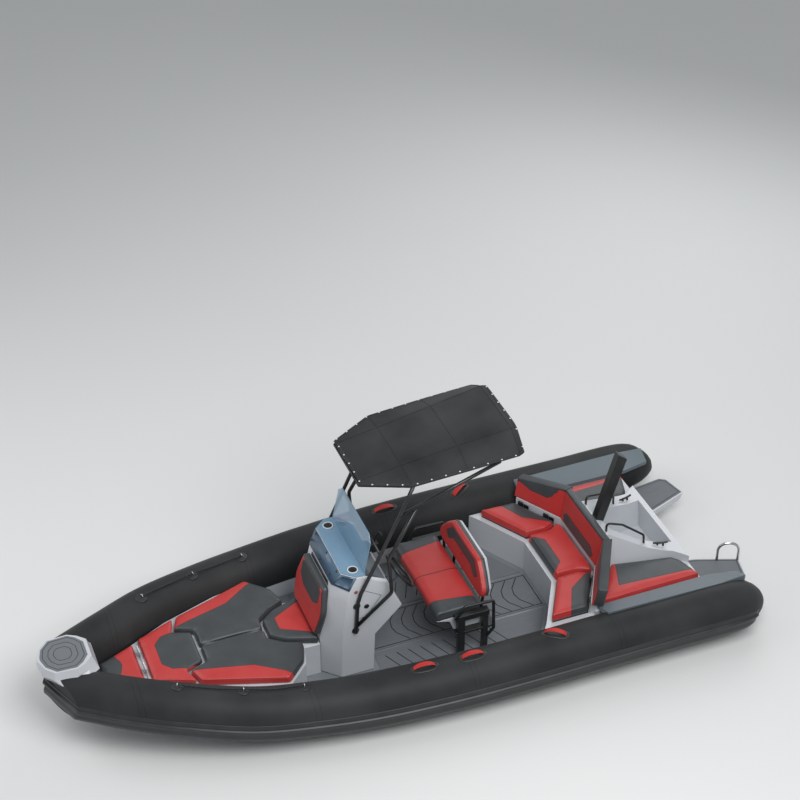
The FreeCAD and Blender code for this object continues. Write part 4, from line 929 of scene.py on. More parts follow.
# Port seat hinge line: start, unit vectors along it and towards the lid
SEAT_START = np.array([0.888, 0.334])
SEAT_ALONG = np.array([0.49992, 0.86607])
SEAT_LID = np.array([0.86607, -0.49992])
SEAT_HIGH = 0.470
SEAT_SEAM = 0.4535


def by_hinge(run, ahead):
    """Plan point a given run along the port seat's hinge line and distance towards its lid."""
    return SEAT_START + SEAT_ALONG * run + SEAT_LID * ahead


# Outlines of the aft pads in plan: x, y
SIDE_SEAT = (by_hinge(0.078, 0.009), by_hinge(0.078, 0.135), (1.270, 0.334), (1.550, 0.822),
             (1.180, 0.822))
CENTRE_SEAT = ((1.262, 0.314), (1.035, 0.316), by_hinge(0.058, 0.009), by_hinge(0, 0.009))
SUN = ((0.728, 0.372), (0.140, 0.486), (0.076, 0.560), (0.004, 0.806), (1.066, 0.822))
SUN_HIGH = 0.487


def build_aft_cushions():
    """Horseshoe seat: side pads on their lids and the centre pad, then the sun pads."""
    side = pad(SIDE_SEAT, (1.22, 0.58), 0.394, SEAT_HIGH)
    dark = [(0.5, 0.30), (0.985, 0.395), (1.215, 0.55), (1.335, 0.790), (1.40, 0.95), (0.5, 0.95)]
    for word, sign in (("port", 1), ("starboard", -1)):
        cushion("seat_pad_" + word, [side if sign > 0 else flip(side)], red_outside(dark),
                ["seat_cushion_" + word], body=word + "_lid", seam_z=SEAT_SEAM)
    cushion("seat_pad_centre", [pad(mirror_close(CENTRE_SEAT), (1.08, 0), 0.3755, SEAT_HIGH)],
            red_outside([(1.330, -0.252), (1.330, 0.252), (1.235, 0.252), (1.152, 0.170), (1.152, -0.170),
                         (1.235, -0.252)]),
            ["seat_cushion_centre"], seam_z=SEAT_SEAM)
    sun = pad(SUN, (0.5, 0.62), 0.4255, SUN_HIGH)
    cushion("sun_pad_pair", [sun, flip(sun)],
            red_outside([(0.655, 0.30), (0.800, 0.690), (0.02, 0.735), (-0.1, 0.735), (-0.1, 0.30)]),
            ["sun_pads"], seam_z=SUN_HIGH - 0.0165)


def block_pad(corners, bulge, n=16):
    """A padded box from two quads (front, back), each four corners in order round.

    The six faces are bilinear patches on one n by n grid each; each grid point is pushed outwards
    by bulge * (sin(pi u) sin(pi v)) ** 0.6 along its patch's normal, and the shell is closed.
    """
    a = np.asarray(corners, dtype=float)
    quads = [(0, 1, 2, 3), (7, 6, 5, 4), (1, 0, 4, 5), (2, 1, 5, 6), (3, 2, 6, 7), (0, 3, 7, 4)]
    middle = a.mean(0)
    verts, faces = [], []
    u, v = np.meshgrid(np.linspace(0, 1, n), np.linspace(0, 1, n), indexing="ij")
    for q in quads:
        p = a[list(q)]
        grid = (p[0] * ((1 - u) * (1 - v))[..., None] + p[1] * (u * (1 - v))[..., None]
                + p[2] * (u * v)[..., None] + p[3] * ((1 - u) * v)[..., None])
        normal = np.cross(p[1] - p[0], p[3] - p[0])
        normal /= np.linalg.norm(normal)
        if normal @ (p.mean(0) - middle) < 0:
            normal = -normal
        rise = bulge * (np.sin(np.pi * u) * np.sin(np.pi * v)) ** 0.6
        grid = grid + normal * rise[..., None]
        faces += (grid_faces(n, n, wrap_v=False) + len(verts) * n * n).tolist()
        verts.append(grid.reshape(-1, 3))
    return np.vstack(verts), faces


# Aft backrests: height of foot, of top and of the far end; lean, thickness, slope of the mitre
BACK_FOOT, BACK_TOP, BACK_END = 0.502, 0.825, 0.698
BACK_LEAN, BACK_THICK, MITRE = 0.050, 0.108, 0.268
CENTRE_THICK = 0.078


def side_back_row(run, high, skew):
    """Section of the port backrest across its length, sheared along the mitre at its inner end."""
    spots = ((-0.0205, BACK_FOOT), (-0.0205 - BACK_LEAN, high),
             (-0.020 - BACK_LEAN - 0.8 * BACK_THICK, high), (-0.020 - BACK_THICK, BACK_FOOT))
    return [(*by_hinge(run + skew * (ahead + 0.020), ahead), z) for ahead, z in spots]


def build_aft_backs():
    """Three backrests: red faces, dark top rolls, a dark upper wedge on the side ones."""
    side = block_pad(side_back_row(0.0405, BACK_TOP, MITRE) + side_back_row(0.588, BACK_END, 0.0), 0.005)
    foot, top = 0.890, 0.3754
    spots = ((0, BACK_FOOT), (BACK_LEAN, BACK_TOP), (BACK_LEAN + 0.8 * CENTRE_THICK, BACK_TOP),
             (CENTRE_THICK, BACK_FOOT))
    centre = block_pad([(foot - b, top + MITRE * b, z) for b, z in spots]
                       + [(foot - b, -top - MITRE * b, z) for b, z in spots], 0.005)

    def side_red(v):
        """Red under a line that drops and rises along the front, dark on top and behind."""
        y = np.abs(v[:, 1])
        run = (np.column_stack([v[:, 0], y]) - SEAT_START) @ SEAT_ALONG
        ahead = (np.column_stack([v[:, 0], y]) - SEAT_START) @ SEAT_LID
        edge = np.interp(run, [0.0, 0.10, 0.20, 0.42, 0.60], [0.80, 0.795, 0.650, 0.640, 0.688])
        lean = -0.020 - BACK_LEAN * (v[:, 2] - BACK_FOOT) / (BACK_TOP - BACK_FOOT)
        return np.minimum(edge - v[:, 2], ahead - lean + 0.018)

    def centre_red(v):
        """Red on the face under the top roll, outside the bare inset."""
        lean = foot - BACK_LEAN * (v[:, 2] - BACK_FOOT) / (BACK_TOP - BACK_FOOT)
        upper = np.minimum(0.806 - v[:, 2], v[:, 0] - lean + 0.018)
        inset = distance_in(v[:, 1:], [(-0.30, 0.49), (0.225, 0.49), (0.285, 0.545), (0.285, 0.575),
                                       (0.225, 0.625), (-0.285, 0.625), (-0.335, 0.585)])
        return np.minimum(upper, -inset)

    cushion("back_pad_sides", [side, flip(side)], side_red, ["aft_backrests"], swell=False, merge=0.0004,
            bevel=0.012)
    cushion("back_pad_centre", [centre], centre_red, ["aft_backrests"], swell=False, merge=0.0004,
            bevel=0.012)


# Helm cushion's section: x, z; its middle, half its length, and the backrest's lean
HELM_SECTION = ((2.566, 0.4805), (2.574, 0.530), (2.566, 0.560), (2.542, 0.577), (2.160, 0.577),
                (2.132, 0.568), (2.127, 0.545), (2.127, 0.4805))
HELM_MIDDLE = np.array([2.35, 0.5295])
HELM_HALF = 0.528
HELM_LEAN = math.tan(math.radians(8))


def build_helm_seat():
    """Helm seat: a long cushion rolled over its front edge, with a bead at the split."""
    section = round_corners(HELM_SECTION, 0.020, 90)
    y = np.concatenate([[-1, -0.995, -0.985], np.linspace(-0.97, 0.97, 60), [0.985, 0.995, 1]]) * HELM_HALF
    drawn = 0.014 * np.exp(-(HELM_HALF - np.abs(y)) / 0.006)
    drawn = drawn + 0.0045 * np.exp(-np.abs(y) / 0.005)
    spread = section - HELM_MIDDLE
    scale = 1 - drawn[:, None, None] / np.linalg.norm(spread, axis=1)[None, :, None]
    flat = HELM_MIDDLE + spread[None] * scale
    rings = np.stack([flat[..., 0], np.broadcast_to(y[:, None], flat.shape[:2]), flat[..., 1]], axis=2)

    def seat_red(v):
        """Red between two slanted lines and above the foot, kept off the split in the middle."""
        along = np.abs(v[:, 1])
        sides = 0.352 + 0.147 * (2.56 - v[:, 0])
        edge = np.minimum(sides - along, v[:, 2] - 0.500)
        split = along - 0.0005
        return np.where(edge > 0, np.minimum(edge, np.maximum(split, 0.0008)), edge)

    made = cushion("helm_seat_pad", [loft(rings)], seat_red, ["helm_cushion"], merge=0.0002)
    # the split between its two places: a dark bead laid on the pad's own section
    near = points_of(made)
    near = near[np.abs(near[:, 1]) < 0.012][:, [0, 2]] - HELM_MIDDLE
    turn = np.arctan2(near[:, 1], near[:, 0])
    reach = np.linalg.norm(near, axis=1)
    want = np.linspace(-math.pi, math.pi, 90, endpoint=False)
    order = np.argsort(turn)
    reach = np.interp(want, turn[order], reach[order], period=2 * math.pi)
    chain = np.column_stack([HELM_MIDDLE[0] + reach * np.cos(want), 0 * want,
                             HELM_MIDDLE[1] + reach * np.sin(want)])
    put("helm_seat_split", bar(chain, 0.0034, 8, True), "rubber")


def build_helm_back():
    """Helm backrest: a crowned pad that leans back, with a bare inset."""
    half = np.array([(-0.300, 0.886), (-0.398, 0.802), (-0.500, 0.682), (-0.500, 0.602), (-0.420, 0.588)])
    rim = np.vstack([half, half[::-1] * [-1, 1]])
    loop = round_corners(rim, 0.028, 170)
    centre = np.array([0.0, 0.73])
    inward = inward_of(loop, centre)
    rings = []
    for x, inset in ((2.0425, 0.012), (2.0445, 0.004), (2.060, 0.0015), (2.085, 0.0), (2.103, 0.002),
                     (2.107, 0.0065), (2.109, 0.0055), (2.113, 0.0085)):
        flat = loop + inward * inset
        rings.append(np.column_stack([x - (flat[:, 1] - 0.585) * HELM_LEAN, flat]))
    for s in np.linspace(0, 1, 18)[:-1] ** 1.3:
        flat = loop + inward * 0.012 + (centre - loop) * (0.99 * s)
        d = np.maximum(distance_in(flat, rim), 0)
        x = 2.1185 - 0.006 * np.exp(-d / 0.014)
        rings.append(np.column_stack([x - (flat[:, 1] - 0.585) * HELM_LEAN, flat]))

    def back_red(v):
        """Red on the face, outside the bare inset."""
        y = np.abs(v[:, 1])
        yz = np.column_stack([y, v[:, 2]])
        inset = distance_in(yz, [(-0.5, 0.852), (0.250, 0.852), (0.360, 0.745), (0.300, 0.690),
                                 (0.200, 0.758), (-0.5, 0.758)])
        return np.minimum(-inset, v[:, 0] + (v[:, 2] - 0.585) * HELM_LEAN - 2.074)

    cushion("helm_back_pad", [loft(np.array(rings))], back_red, ["helm_backrest"], swell=False,
            merge=0.0002)


def build_helm_pads():
    """Helm seat and backrest."""
    build_helm_seat()
    build_helm_back()


# Console: foot of its front face, the face's slope, its side and its top
CONSOLE_FRONT = 3.6003
CONSOLE_LEAN = (3.600 - 3.544) / (0.731 - 0.462)
CONSOLE_SIDE = 0.4503
CONSOLE_TOP = 1.172


def front_face(z):
    """Where the console's leaning front face is at a height."""
    return CONSOLE_FRONT - (z - 0.462) * CONSOLE_LEAN


def build_console_pad():
    """Padded panel on the console's front: a crowned shield with a grey rim and a bare dark inset."""
    half = np.array([(-0.262, 0.982), (-0.335, 0.760), (-0.338, 0.700), (-0.300, 0.500), (-0.275, 0.487)])
    outline = np.vstack([half, half[::-1] * [-1, 1]])
    loop = round_corners(outline, 0.030, 160)
    centre = np.array([0.0, 0.73])
    inward = inward_of(loop, centre)
    rings = []
    for out, inset in ((0.0006, 0.002), (0.020, 0.0), (0.040, 0.001), (0.049, 0.006), (0.052, 0.011),
                       (0.0505, 0.014), (0.054, 0.018)):
        flat = loop + inward * inset
        rings.append(np.column_stack([front_face(flat[:, 1]) + out, flat]))
    for s in np.linspace(0, 1, 16)[:-1] ** 1.3:
        flat = loop + inward * 0.020 + (centre - loop) * (0.97 * s)
        d = np.maximum(distance_in(flat, outline), 0)
        out = 0.0595 - 0.005 * np.exp(-d / 0.02)
        rings.append(np.column_stack([front_face(flat[:, 1]) + out, flat]))

    def red(v):
        """Red on the face between the grey rim and the bare inset."""
        y = np.abs(v[:, 1])
        yz = np.column_stack([y, v[:, 2]])
        inset = distance_in(yz, [(-0.5, 0.965), (0.180, 0.965), (0.232, 0.925), (0.226, 0.800),
                                 (0.130, 0.740), (-0.5, 0.740)])
        rim = distance_in(v[:, 1:], outline) - 0.016
        return np.minimum(np.minimum(-inset, rim), v[:, 0] - front_face(v[:, 2]) - 0.030)

    cushion("console_back_pad", [loft(np.array(rings))], red, ["console_seat_back"], swell=False,
            merge=0.0002)


# Canopy

# Stations: x, then y and z of the outer edge and of the crease
CANOPY = np.array(((1.758, 0.515, 2.178, 0.325, 2.340), (1.812, 0.560, 2.192, 0.335, 2.338),
                   (2.300, 0.556, 2.162, 0.308, 2.262), (2.810, 0.541, 2.127, 0.290, 2.176),
                   (3.205, 0.335, 2.098, 0.285, 2.112)))
CLOTH_LIFT = 0.0105
CREASE_SOFT = 0.030
# Hem's faces and a sewn seam's middle above the cloth, and the seam's radius
HEM_FACES = (-0.0035, 0.0018)
SEAM_LIFT, SEAM_RADIUS = 0.0012, 0.0028


def cloth_height(x, y):
    """Height of the cloth: level to the crease, then falling away by slope * s.

    s = (d + sqrt(d^2 + soft^2)) / 2, with d the distance past the crease.
    """
    out_y, out_z, in_y, in_z = (np.interp(x, CANOPY[:, 0], CANOPY[:, k]) for k in (1, 2, 3, 4))
    past = np.abs(y) - in_y
    fall = (past + np.sqrt(past ** 2 + CREASE_SOFT ** 2)) / 2
    return in_z + CLOTH_LIFT - fall * (in_z - out_z) / (out_y - in_y)


def cloth_point(x, y, lift=0.0):
    """Points on the cloth at plan places, raised by lift."""
    return np.stack([x, y, cloth_height(x, y) + lift], axis=-1)


def cloth_edge(n, inset):
    """The sheet's outline in plan, drawn in by inset, n points evenly spaced by length."""
    half = [(x, y) for x, y in CANOPY[:, :2]]
    loop = np.array(half + [(x, -y) for x, y in reversed(half)])
    loop = round_corners(loop, 0.03, n)
    return loop + inward_of(loop, np.array([2.45, 0.0])) * inset


def build_canopy():
    """The sheet, its hem, sewn seams over the frame and snap heads."""
    x = np.linspace(CANOPY[0, 0], CANOPY[-1, 0], 90)
    half = np.interp(x, CANOPY[:, 0], CANOPY[:, 1])
    y = np.linspace(-1, 1, 81)[None, :] * half[:, None]
    top = cloth_point(np.broadcast_to(x[:, None], y.shape), y)
    part = top.reshape(-1, 3), grid_faces(90, 81, wrap_v=False)[:, ::-1].tolist()
    sheet = put("canopy_sheet", part, "canvas", replaces=["canopy"])
    outer, inner = cloth_edge(220, 0.0), cloth_edge(220, size("hem"))
    under, over = HEM_FACES
    rows = [cloth_point(loop[:, 0], loop[:, 1], lift)
            for loop, lift in ((outer, under), (outer, over), (inner, over), (inner, under))]
    hem = put("canopy_hem", loft(np.stack(rows, axis=1), True), "canvas",
              facing=True)
    spots = cloth_edge(36, 0.5 * size("hem"))
    radius = size("snap")
    dome = ((0.001, radius), (0.0032, radius), (0.0052, 0.6 * radius), (0.0056, 0.2 * radius))
    heads = [turned(cloth_point(px, py), (0, 0, 1), dome, 12) for px, py in spots]
    snaps = put("canopy_snaps", join(*heads), "mark")
    seams = []
    run = np.linspace(CANOPY[0, 0] + 0.01, CANOPY[-1, 0] - 0.01, 60)
    crease = np.interp(run, CANOPY[:, 0], CANOPY[:, 3])
    for sign in (1, -1):
        seams.append(bar(cloth_point(run, sign * crease, SEAM_LIFT), SEAM_RADIUS, 6))
    for row in CANOPY[1:4]:
        y = np.linspace(-row[1] + 0.02, row[1] - 0.02, 50)
        seams.append(bar(cloth_point(np.full(50, row[0]), y, SEAM_LIFT), SEAM_RADIUS, 6))
    seam = put("canopy_seams", join(*seams), "canvas")


# Frames of round tube

# Radii of the canopy's rails and bows, and of the top's legs
RAIL = 0.012
LEG = 0.017


def build_canopy_frame():
    """Side rails, bows and front rod under the cloth, each a bent tube."""
    slope = (CANOPY[:, 4] - CANOPY[:, 2]) / (CANOPY[:, 1] - CANOPY[:, 3])
    rail = np.column_stack([CANOPY[:, 0], CANOPY[:, 1] - 0.026,
                            CANOPY[:, 2] + slope * 0.026 - 0.017 * np.sqrt(1 + slope ** 2)])[1:]
    low = CANOPY[:, 4] - RAIL + 0.0003
    parts = [tube(rail, RAIL, 0.040), tube(rail * [1, -1, 1], RAIL, 0.040),
             tube([rail[-1], rail[-1] * [1, -1, 1]], RAIL)]
    for k in (1, 2, 3):
        crease = [CANOPY[k, 0], CANOPY[k, 3] - 0.006, low[k]]
        end = rail[k - 1]
        parts.append(tube([end, crease, np.array(crease) * [1, -1, 1], end * [1, -1, 1]], RAIL, 0.030))
    put("canopy_bows", join(*parts), "coat", replaces=["canopy_frame"])


# Corners of the fore leg, the aft leg and the strut of the port side
LEG_A = ((3.312, 0.4672, 0.560), (3.292, 0.4672, 0.900), (3.262, 0.470, 1.010), (2.900, 0.484, 1.793),
         (2.790, 0.514, 2.108))
LEG_B = ((3.300, 0.468, 0.640), (2.985, 0.505, 0.965), (3.013, 0.505, 1.350), (2.743, 0.486, 1.846))
STRUT = ((2.905, 0.486, 1.793), (1.990, 0.528, 2.165))


def build_top_frame():
    """The top's legs and struts, bolted to the console through round feet."""
    side = [tube(LEG_A, LEG, 0.060, 18), tube(LEG_B, LEG, 0.060, 18), tube(STRUT, LEG, 0, 18)]
    foot = ((0, 0.034), (0.006, 0.034), (0.009, 0.031), (0.0092, 0.012), (0.013, 0.011), (0.0135, 0.006))
    side += [turned((x, CONSOLE_SIDE, z), (0, 1, 0), foot, 28)
             for x, z in ((3.312, 0.575), (3.296, 0.860))]
    both_sides = join(*side)
    rod = tube([(3.080, 0.472, 1.410), (3.080, -0.472, 1.410)], 0.0136)
    put("top_frame_tubes", join(both_sides, flip(both_sides), rod), "coat",
        replaces=["top_frame"])


def slab(low, high):
    """A bar of metal between two corners."""
    (x0, y0, z0), (x1, y1, z1) = low, high
    return plate([(x0, y0), (x1, y0), (x1, y1), (x0, y1)], z0, z1)


def build_helm_frame():
    """Seat legs, plates, foot rods and the swinging armrests."""
    side = [slab((2.303, 0.548, 0.0416), (2.373, 0.592, 0.520)),
            slab((2.074, 0.548, 0.0416), (2.130, 0.592, 0.520)),
            slab((2.065, 0.5253, 0.470), (2.395, 0.595, 0.530)),
            slab((2.200, 0.5253, 0.462), (2.260, 0.5513, 0.479))]
    arm = [(2.395, 0.585, 0.505), (2.310, 0.590, 0.640), (2.030, 0.590, 0.628), (2.018, 0.590, 0.290),
           (2.085, 0.590, 0.215)]
    round_side = [tube([(2.0333, 0.330, 0.330), (1.9853, 0.330, 0.672)], 0.014), tube(arm, 0.015, 0.026)]
    flat = join(*side)
    cross = slab((2.000, -0.590, 0.3067), (2.390, 0.590, 0.3337))
    put("helm_legs", join(flat, flip(flat), cross), "coat", replaces=["helm_frame"],
        bevel=0.005)
    arms = join(*round_side)
    put("helm_arms", both(arms), "coat", replaces=["helm_frame"])


# Turned post of a cleat: height, radius
CLEAT_POST = ((0, 0.012), (0.004, 0.010), (0.034, 0.009))


def build_rails():
    """Well rails and cleats in black coated steel, and the polished boarding hoop."""
    rail = tube([(0.712, 0.215, 0.730), (0.712, 0.215, 0.840), (0.560, 0.245, 0.800),
                 (0.360, 0.312, 0.668), (0.352, 0.315, 0.560)], 0.011, 0.030)
    put("engine_well_rails", both(rail), "coat", replaces=["well_rails"])
    feet = np.array([[-0.372, 0.490, 0.2706], [-0.560, 0.560, 0.2706]])
    hoop = tube([feet[0], feet[0] + [0, 0, 0.205], feet[1] + [0, 0, 0.205], feet[1]], 0.013, 0.090)
    put("boarding_hoop_tube", hoop, "steel", replaces=["boarding_hoop"])
    horns = []
    for sign in (1, -1):
        heading = np.array([1.0, -0.25 * sign, 0]) / math.hypot(1, 0.25)
        middle = np.array([0.197, 0.362 * sign, 0.520])
        for way in (-0.028, 0.028):
            horns.append(turned(middle + heading * way, (0, 0, 1), CLEAT_POST, 16))
        horns.append(bar([middle + heading * way + [0, 0, 0.038 + 0.006 * (way / 0.07) ** 2]
                          for way in np.linspace(-0.070, 0.070, 11)], 0.010, 14))
    put("stern_cleats", join(*horns), "coat", replaces=["cleats"])


# Ropes, straps and rings

RING_SPOTS = (3.97, 4.50, 5.02)
RING_ANGLE = 100
# Handles: x, turn in plan. They stand on the crown of the tube.
HANDLE_SPOTS = ((2.90, 0), (2.45, 0), (1.65, 32))
HANDLE_ANGLE = 94.3
# Bow rope: radius, and the pitch of its three laid strands
ROPE_RADIUS = 0.007
STRAND_PITCH = 0.045


def build_rings():
    """Rope rings: rubber patches moulded to the tube, with a steel eye on each."""
    patches, eyes = [], []
    for x in RING_SPOTS:
        place, out, heading = spot_on_tube(x, RING_ANGLE)
        wide = size("disc")
        patches.append(turned(place - out * 0.010, out, ((0, wide), (0.0135, wide), (0.0150, 0.86 * wide),
                                                         (0.0165, 0.45 * wide), (0.021, 0.30 * wide),
                                                         (0.022, 0.1 * wide)), 36))
        eyes.append(ring(place + out * 0.020, heading, 0.017, 0.0045, 28, 10))
    put("ring_patches", both(join(*patches)), "rubber")
    put("ring_eyes", both(join(*eyes)), "steel", replaces=["rope_rings"])


def build_ropes():
    """Lifelines through the rings: taut, carried on the tube, with three laid strands."""
    spots = ((3.970, 0.0244), (4.235, 0.014), (4.500, 0.0244), (4.760, 0.014), (5.020, 0.0244))
    points = np.array([spot_on_tube(x, RING_ANGLE, lift)[0] for x, lift in spots])
    line = spline(points, 160)
    rope = bar(line, ROPE_RADIUS, 18, lobes=0.30, twist=2 * math.pi / STRAND_PITCH / 3)
    put("bow_rope_pair", both(rope), "rope", replaces=["bow_ropes"])


def crown_point(x, turn, along, across, proud):
    """Points near the tube's crown: local run and width, turned in plan, wrapped round the tube."""
    line = tube_line(700)
    _, sides, tops = tube_frames(line)
    total = lengths(line)
    turn = math.radians(turn)
    run = np.interp(x, line[:, 0], total) + along * math.cos(turn) - across * math.sin(turn)
    angle = math.radians(HANDLE_ANGLE) + (along * math.sin(turn) + across * math.cos(turn)) / 0.238
    centre, side, top = (np.stack([np.interp(run, total, rows[:, k]) for k in range(3)], -1)
                         for rows in (line, sides, tops))
    reach = (np.interp(run, total, line[:, 3]) + proud)[..., None]
    return centre + (side * np.cos(angle)[..., None] + top * np.sin(angle)[..., None]) * reach


def build_grab_handles():
    """Grab handles: a webbing arch over an oval rubber patch that follows the tube."""
    patches, arches = [], []
    band = np.concatenate([np.linspace(-1, 1, 13), np.linspace(1, -1, 13)])[None]
    lift = np.concatenate([np.full(13, 0.003), np.full(13, -0.004)])[None]
    run = np.linspace(-1, 1, 25)[:, None]
    for x, turn in HANDLE_SPOTS:
        wide = 0.058 * np.sqrt(np.maximum(1 - np.abs(run) ** 3, 0.01))
        patches.append(loft(crown_point(x, turn, 0.135 * run + 0 * band, wide * band, lift + 0 * run)))
        rise = 0.003 + 0.035 * np.maximum(1 - run ** 2, 0) ** 0.7
        half = 0.024 - 0.005 * np.abs(run)
        edge = np.array([[-1, 1, 1, -1]])
        thick = np.array([[0, 0, 0.005, 0.005]])
        arches.append(loft(crown_point(x, turn, 0.100 * run + 0 * edge, half * edge, rise + thick)))
    put("handle_patches", both(join(*patches)), "rubber", facing=True)
    put("grab_handles", both(join(*arches)), "webbing", replaces=["grab_straps"],
        facing=True, bevel=0.0015)


# Controls

# Middle of the dash boss, and the way of the steering column
HUB = np.array([2.884, 0.220, 0.876])
WHEEL_AXIS = np.array([-0.8192, 0, 0.5736])


def build_wheel():
    """Steering wheel: thick rim, three flat spokes and a domed hub, on its own body."""
    start = HUB + WHEEL_AXIS * 0.0623
    rim = start + WHEEL_AXIS * 0.040
    across = np.array([0, 1.0, 0])
    upward = np.cross(WHEEL_AXIS, across)
    hub = ((0, 0.030), (0.006, 0.038), (0.026, 0.038), (0.034, 0.028), (0.037, 0.010))
    parts = [ring(rim, WHEEL_AXIS, 0.176, 0.015, 64, 16), turned(start, WHEEL_AXIS, hub, 36)]
    for degrees in (90, 210, 330):
        way = across * math.cos(math.radians(degrees)) + upward * math.sin(math.radians(degrees))
        side = np.cross(WHEEL_AXIS, way)
        run = np.linspace(0.018, 0.176, 12)[:, None]
        middle = start + WHEEL_AXIS * (0.016 + 0.024 * (run / 0.176) ** 1.5) + way * run
        reach = side * (0.020 - 0.008 * run / 0.176)
        thick = WHEEL_AXIS * 0.004
        parts.append(loft(np.stack([middle - reach - thick, middle + reach - thick, middle + reach + thick,
                                    middle - reach + thick], axis=1)))
    put("helm_wheel", join(*parts), "plastic", body="wheel",
        replaces=["steering_wheel"], facing=True)


def screen_face(z):
    """Where the tinted panel's leaning face is at a height."""
    return 3.478 - (z - 1.042) * (3.478 - 3.397) / (CONSOLE_TOP - 1.042)


def facing_plate(corners, thick):
    """A thin plate on flat 3D corners, thickened along their normal."""
    flat = np.asarray(corners, dtype=float)
    n = np.cross(flat[1] - flat[0], flat[2] - flat[0])
    return thickened(flat, n / np.linalg.norm(n) * thick)


def build_screen_panel():
    """Tinted panel round the console's front, and the bare strip under it."""
    corners = ((-0.293, 1.046), (0.293, 1.046), (0.336, 1.170), (-0.336, 1.170))
    front = [(screen_face(z), y, z) for y, z in corners]
    side = [(3.474, 0.296, 1.046), (3.360, 0.448, 1.046), (3.287, 0.436, 1.170), (3.394, 0.342, 1.170)]
    facet = facing_plate(side, 0.004)
    put("screen_front_panel", join(facing_plate(front, 0.004), facet, flip(facet)), "panel_acrylic",
        facing=True)
    corners = ((-0.20, 0.996), (0.245, 0.996), (0.225, 1.034), (-0.20, 1.034))
    strip = [(front_face(z) + 0.001, y, z) for y, z in corners]
    put("console_bare_strip", facing_plate(strip, 0.003), "plastic", facing=True)


def build_side_doors():
    """Rubber trim of the console's side doors, and their round handles."""
    door = ((3.250, 1.035), (3.064, 0.915), (3.200, 0.715), (3.279, 0.702))
    outline = [(x, CONSOLE_SIDE, z) for x, z in door]
    put("console_side_door", both(bar(outline, 0.0022, 6)), "rubber")
    handle = turned((3.204, 0.4497, 0.828), (0, 1, 0),
                    ((0, 0.024), (0.004, 0.024), (0.006, 0.018), (0.0062, 0.006)), 24)
    put("console_side_handle", both(handle), "plastic")


def build_cups():
    """Two cup holders with pale rims on the console's top."""
    cups, pale = [], []
    for y in (0.325, -0.325):
        cups.append(turned((3.284, y, CONSOLE_TOP), (0, 0, 1), ((0, 0.040), (0.0068, 0.040), (0.0072, 0.02)),
                           32))
        pale.append(ring((3.284, y, CONSOLE_TOP + 0.0075), (0, 0, 1), 0.044, 0.0055, 36, 10))
    put("console_cups", join(*cups), "plastic")
    put("console_cup_rims", join(*pale), "mark")


def build_bolts_and_light():
    """Bolts through the tinted panel, and the port navigation light."""
    bolt = ((0, 0.012), (0.003, 0.012), (0.007, 0.007), (0.0075, 0.003))
    spots = ((-0.30, 1.085), (-0.285, 1.156), (-0.04, 1.07), (0.0, 1.156), (0.204, 1.088), (0.27, 1.156))
    bolts = [turned((screen_face(z) + 0.003, y, z), (0.85, 0, 0.53), bolt, 16) for y, z in spots]
    put("console_bolts", join(*bolts), "coat")
    light = turned((3.301, 0.449, 1.026), (0, 1, 0),
                   ((0, 0.016), (0.006, 0.016), (0.012, 0.010), (0.013, 0.004)), 20)
    put("console_port_light", light, "lens")


def build_console_details():
    """Screen panel, side doors, cup holders, bolts and port light."""
    build_screen_panel()
    build_side_doors()
    build_cups()
    build_bolts_and_light()


# Foam mats

# Heights of the routed lines on the sole, the nose and the platforms, and the width of the fine ones
SOLE_LINE, NOSE_LINE, PLATFORM_LINE = 0.0418, 0.7758, 0.2708
FINE_LINE = 0.005
# Tips of the centre mat's routed lines, along the middle
LINE_TIPS = np.arange(2.796, 1.46, -0.1145)


def mat_lines():
    """Routed lines: nested half hexagons on the centre mat and slanted lines on the side mats."""
    lines = []
    for tip_x in LINE_TIPS:
        lines.append([(tip_x - 0.110, -0.205), (tip_x - 0.018, -0.085), (tip_x, 0.0),
                      (tip_x - 0.018, 0.085), (tip_x - 0.110, 0.205)])
    for sign in (1, -1):
        for x in np.arange(1.95, 3.02, 0.115):
            lines.append([(x, 0.330 * sign), (x - 0.115, 0.575 * sign)])
    return lines


def build_mat_grooves():
    """Dark routed lines on the foam mats, drawn as thin ribbons sunk into them."""
    parts = [ribbon(line, size("groove"), SOLE_LINE) for line in mat_lines()]
    deck = [(1.340, 0.215), (3.050, 0.215), (3.050, -0.215), (1.340, -0.215)]
    parts.append(ribbon(deck, size("groove"), SOLE_LINE, closed=True))
    nose = [(5.660, 0.078), (5.706, 0.143), (5.760, 0.184), (5.915, 0.177), (5.985, 0.100), (6.008, 0.010)]
    for share in (1.0, 0.72, 0.44):
        inner = [(5.835 + (x - 5.835) * share, y * share) for x, y in nose]
        parts.append(ribbon(mirror_close(inner), FINE_LINE, NOSE_LINE, closed=True))
    platform = [(-0.045, 0.402), (-0.180, 0.434), (-0.540, 0.570), (-0.492, 0.764), (-0.448, 0.798),
                (-0.172, 0.764), (-0.045, 0.748)]
    for sign in (1, -1):
        parts.append(ribbon([(x, y * sign) for x, y in platform], FINE_LINE, PLATFORM_LINE, closed=True))
    put("mat_grooves", join(*parts), "groove", facing=True)


# Mouldings and nodes kept from the frame

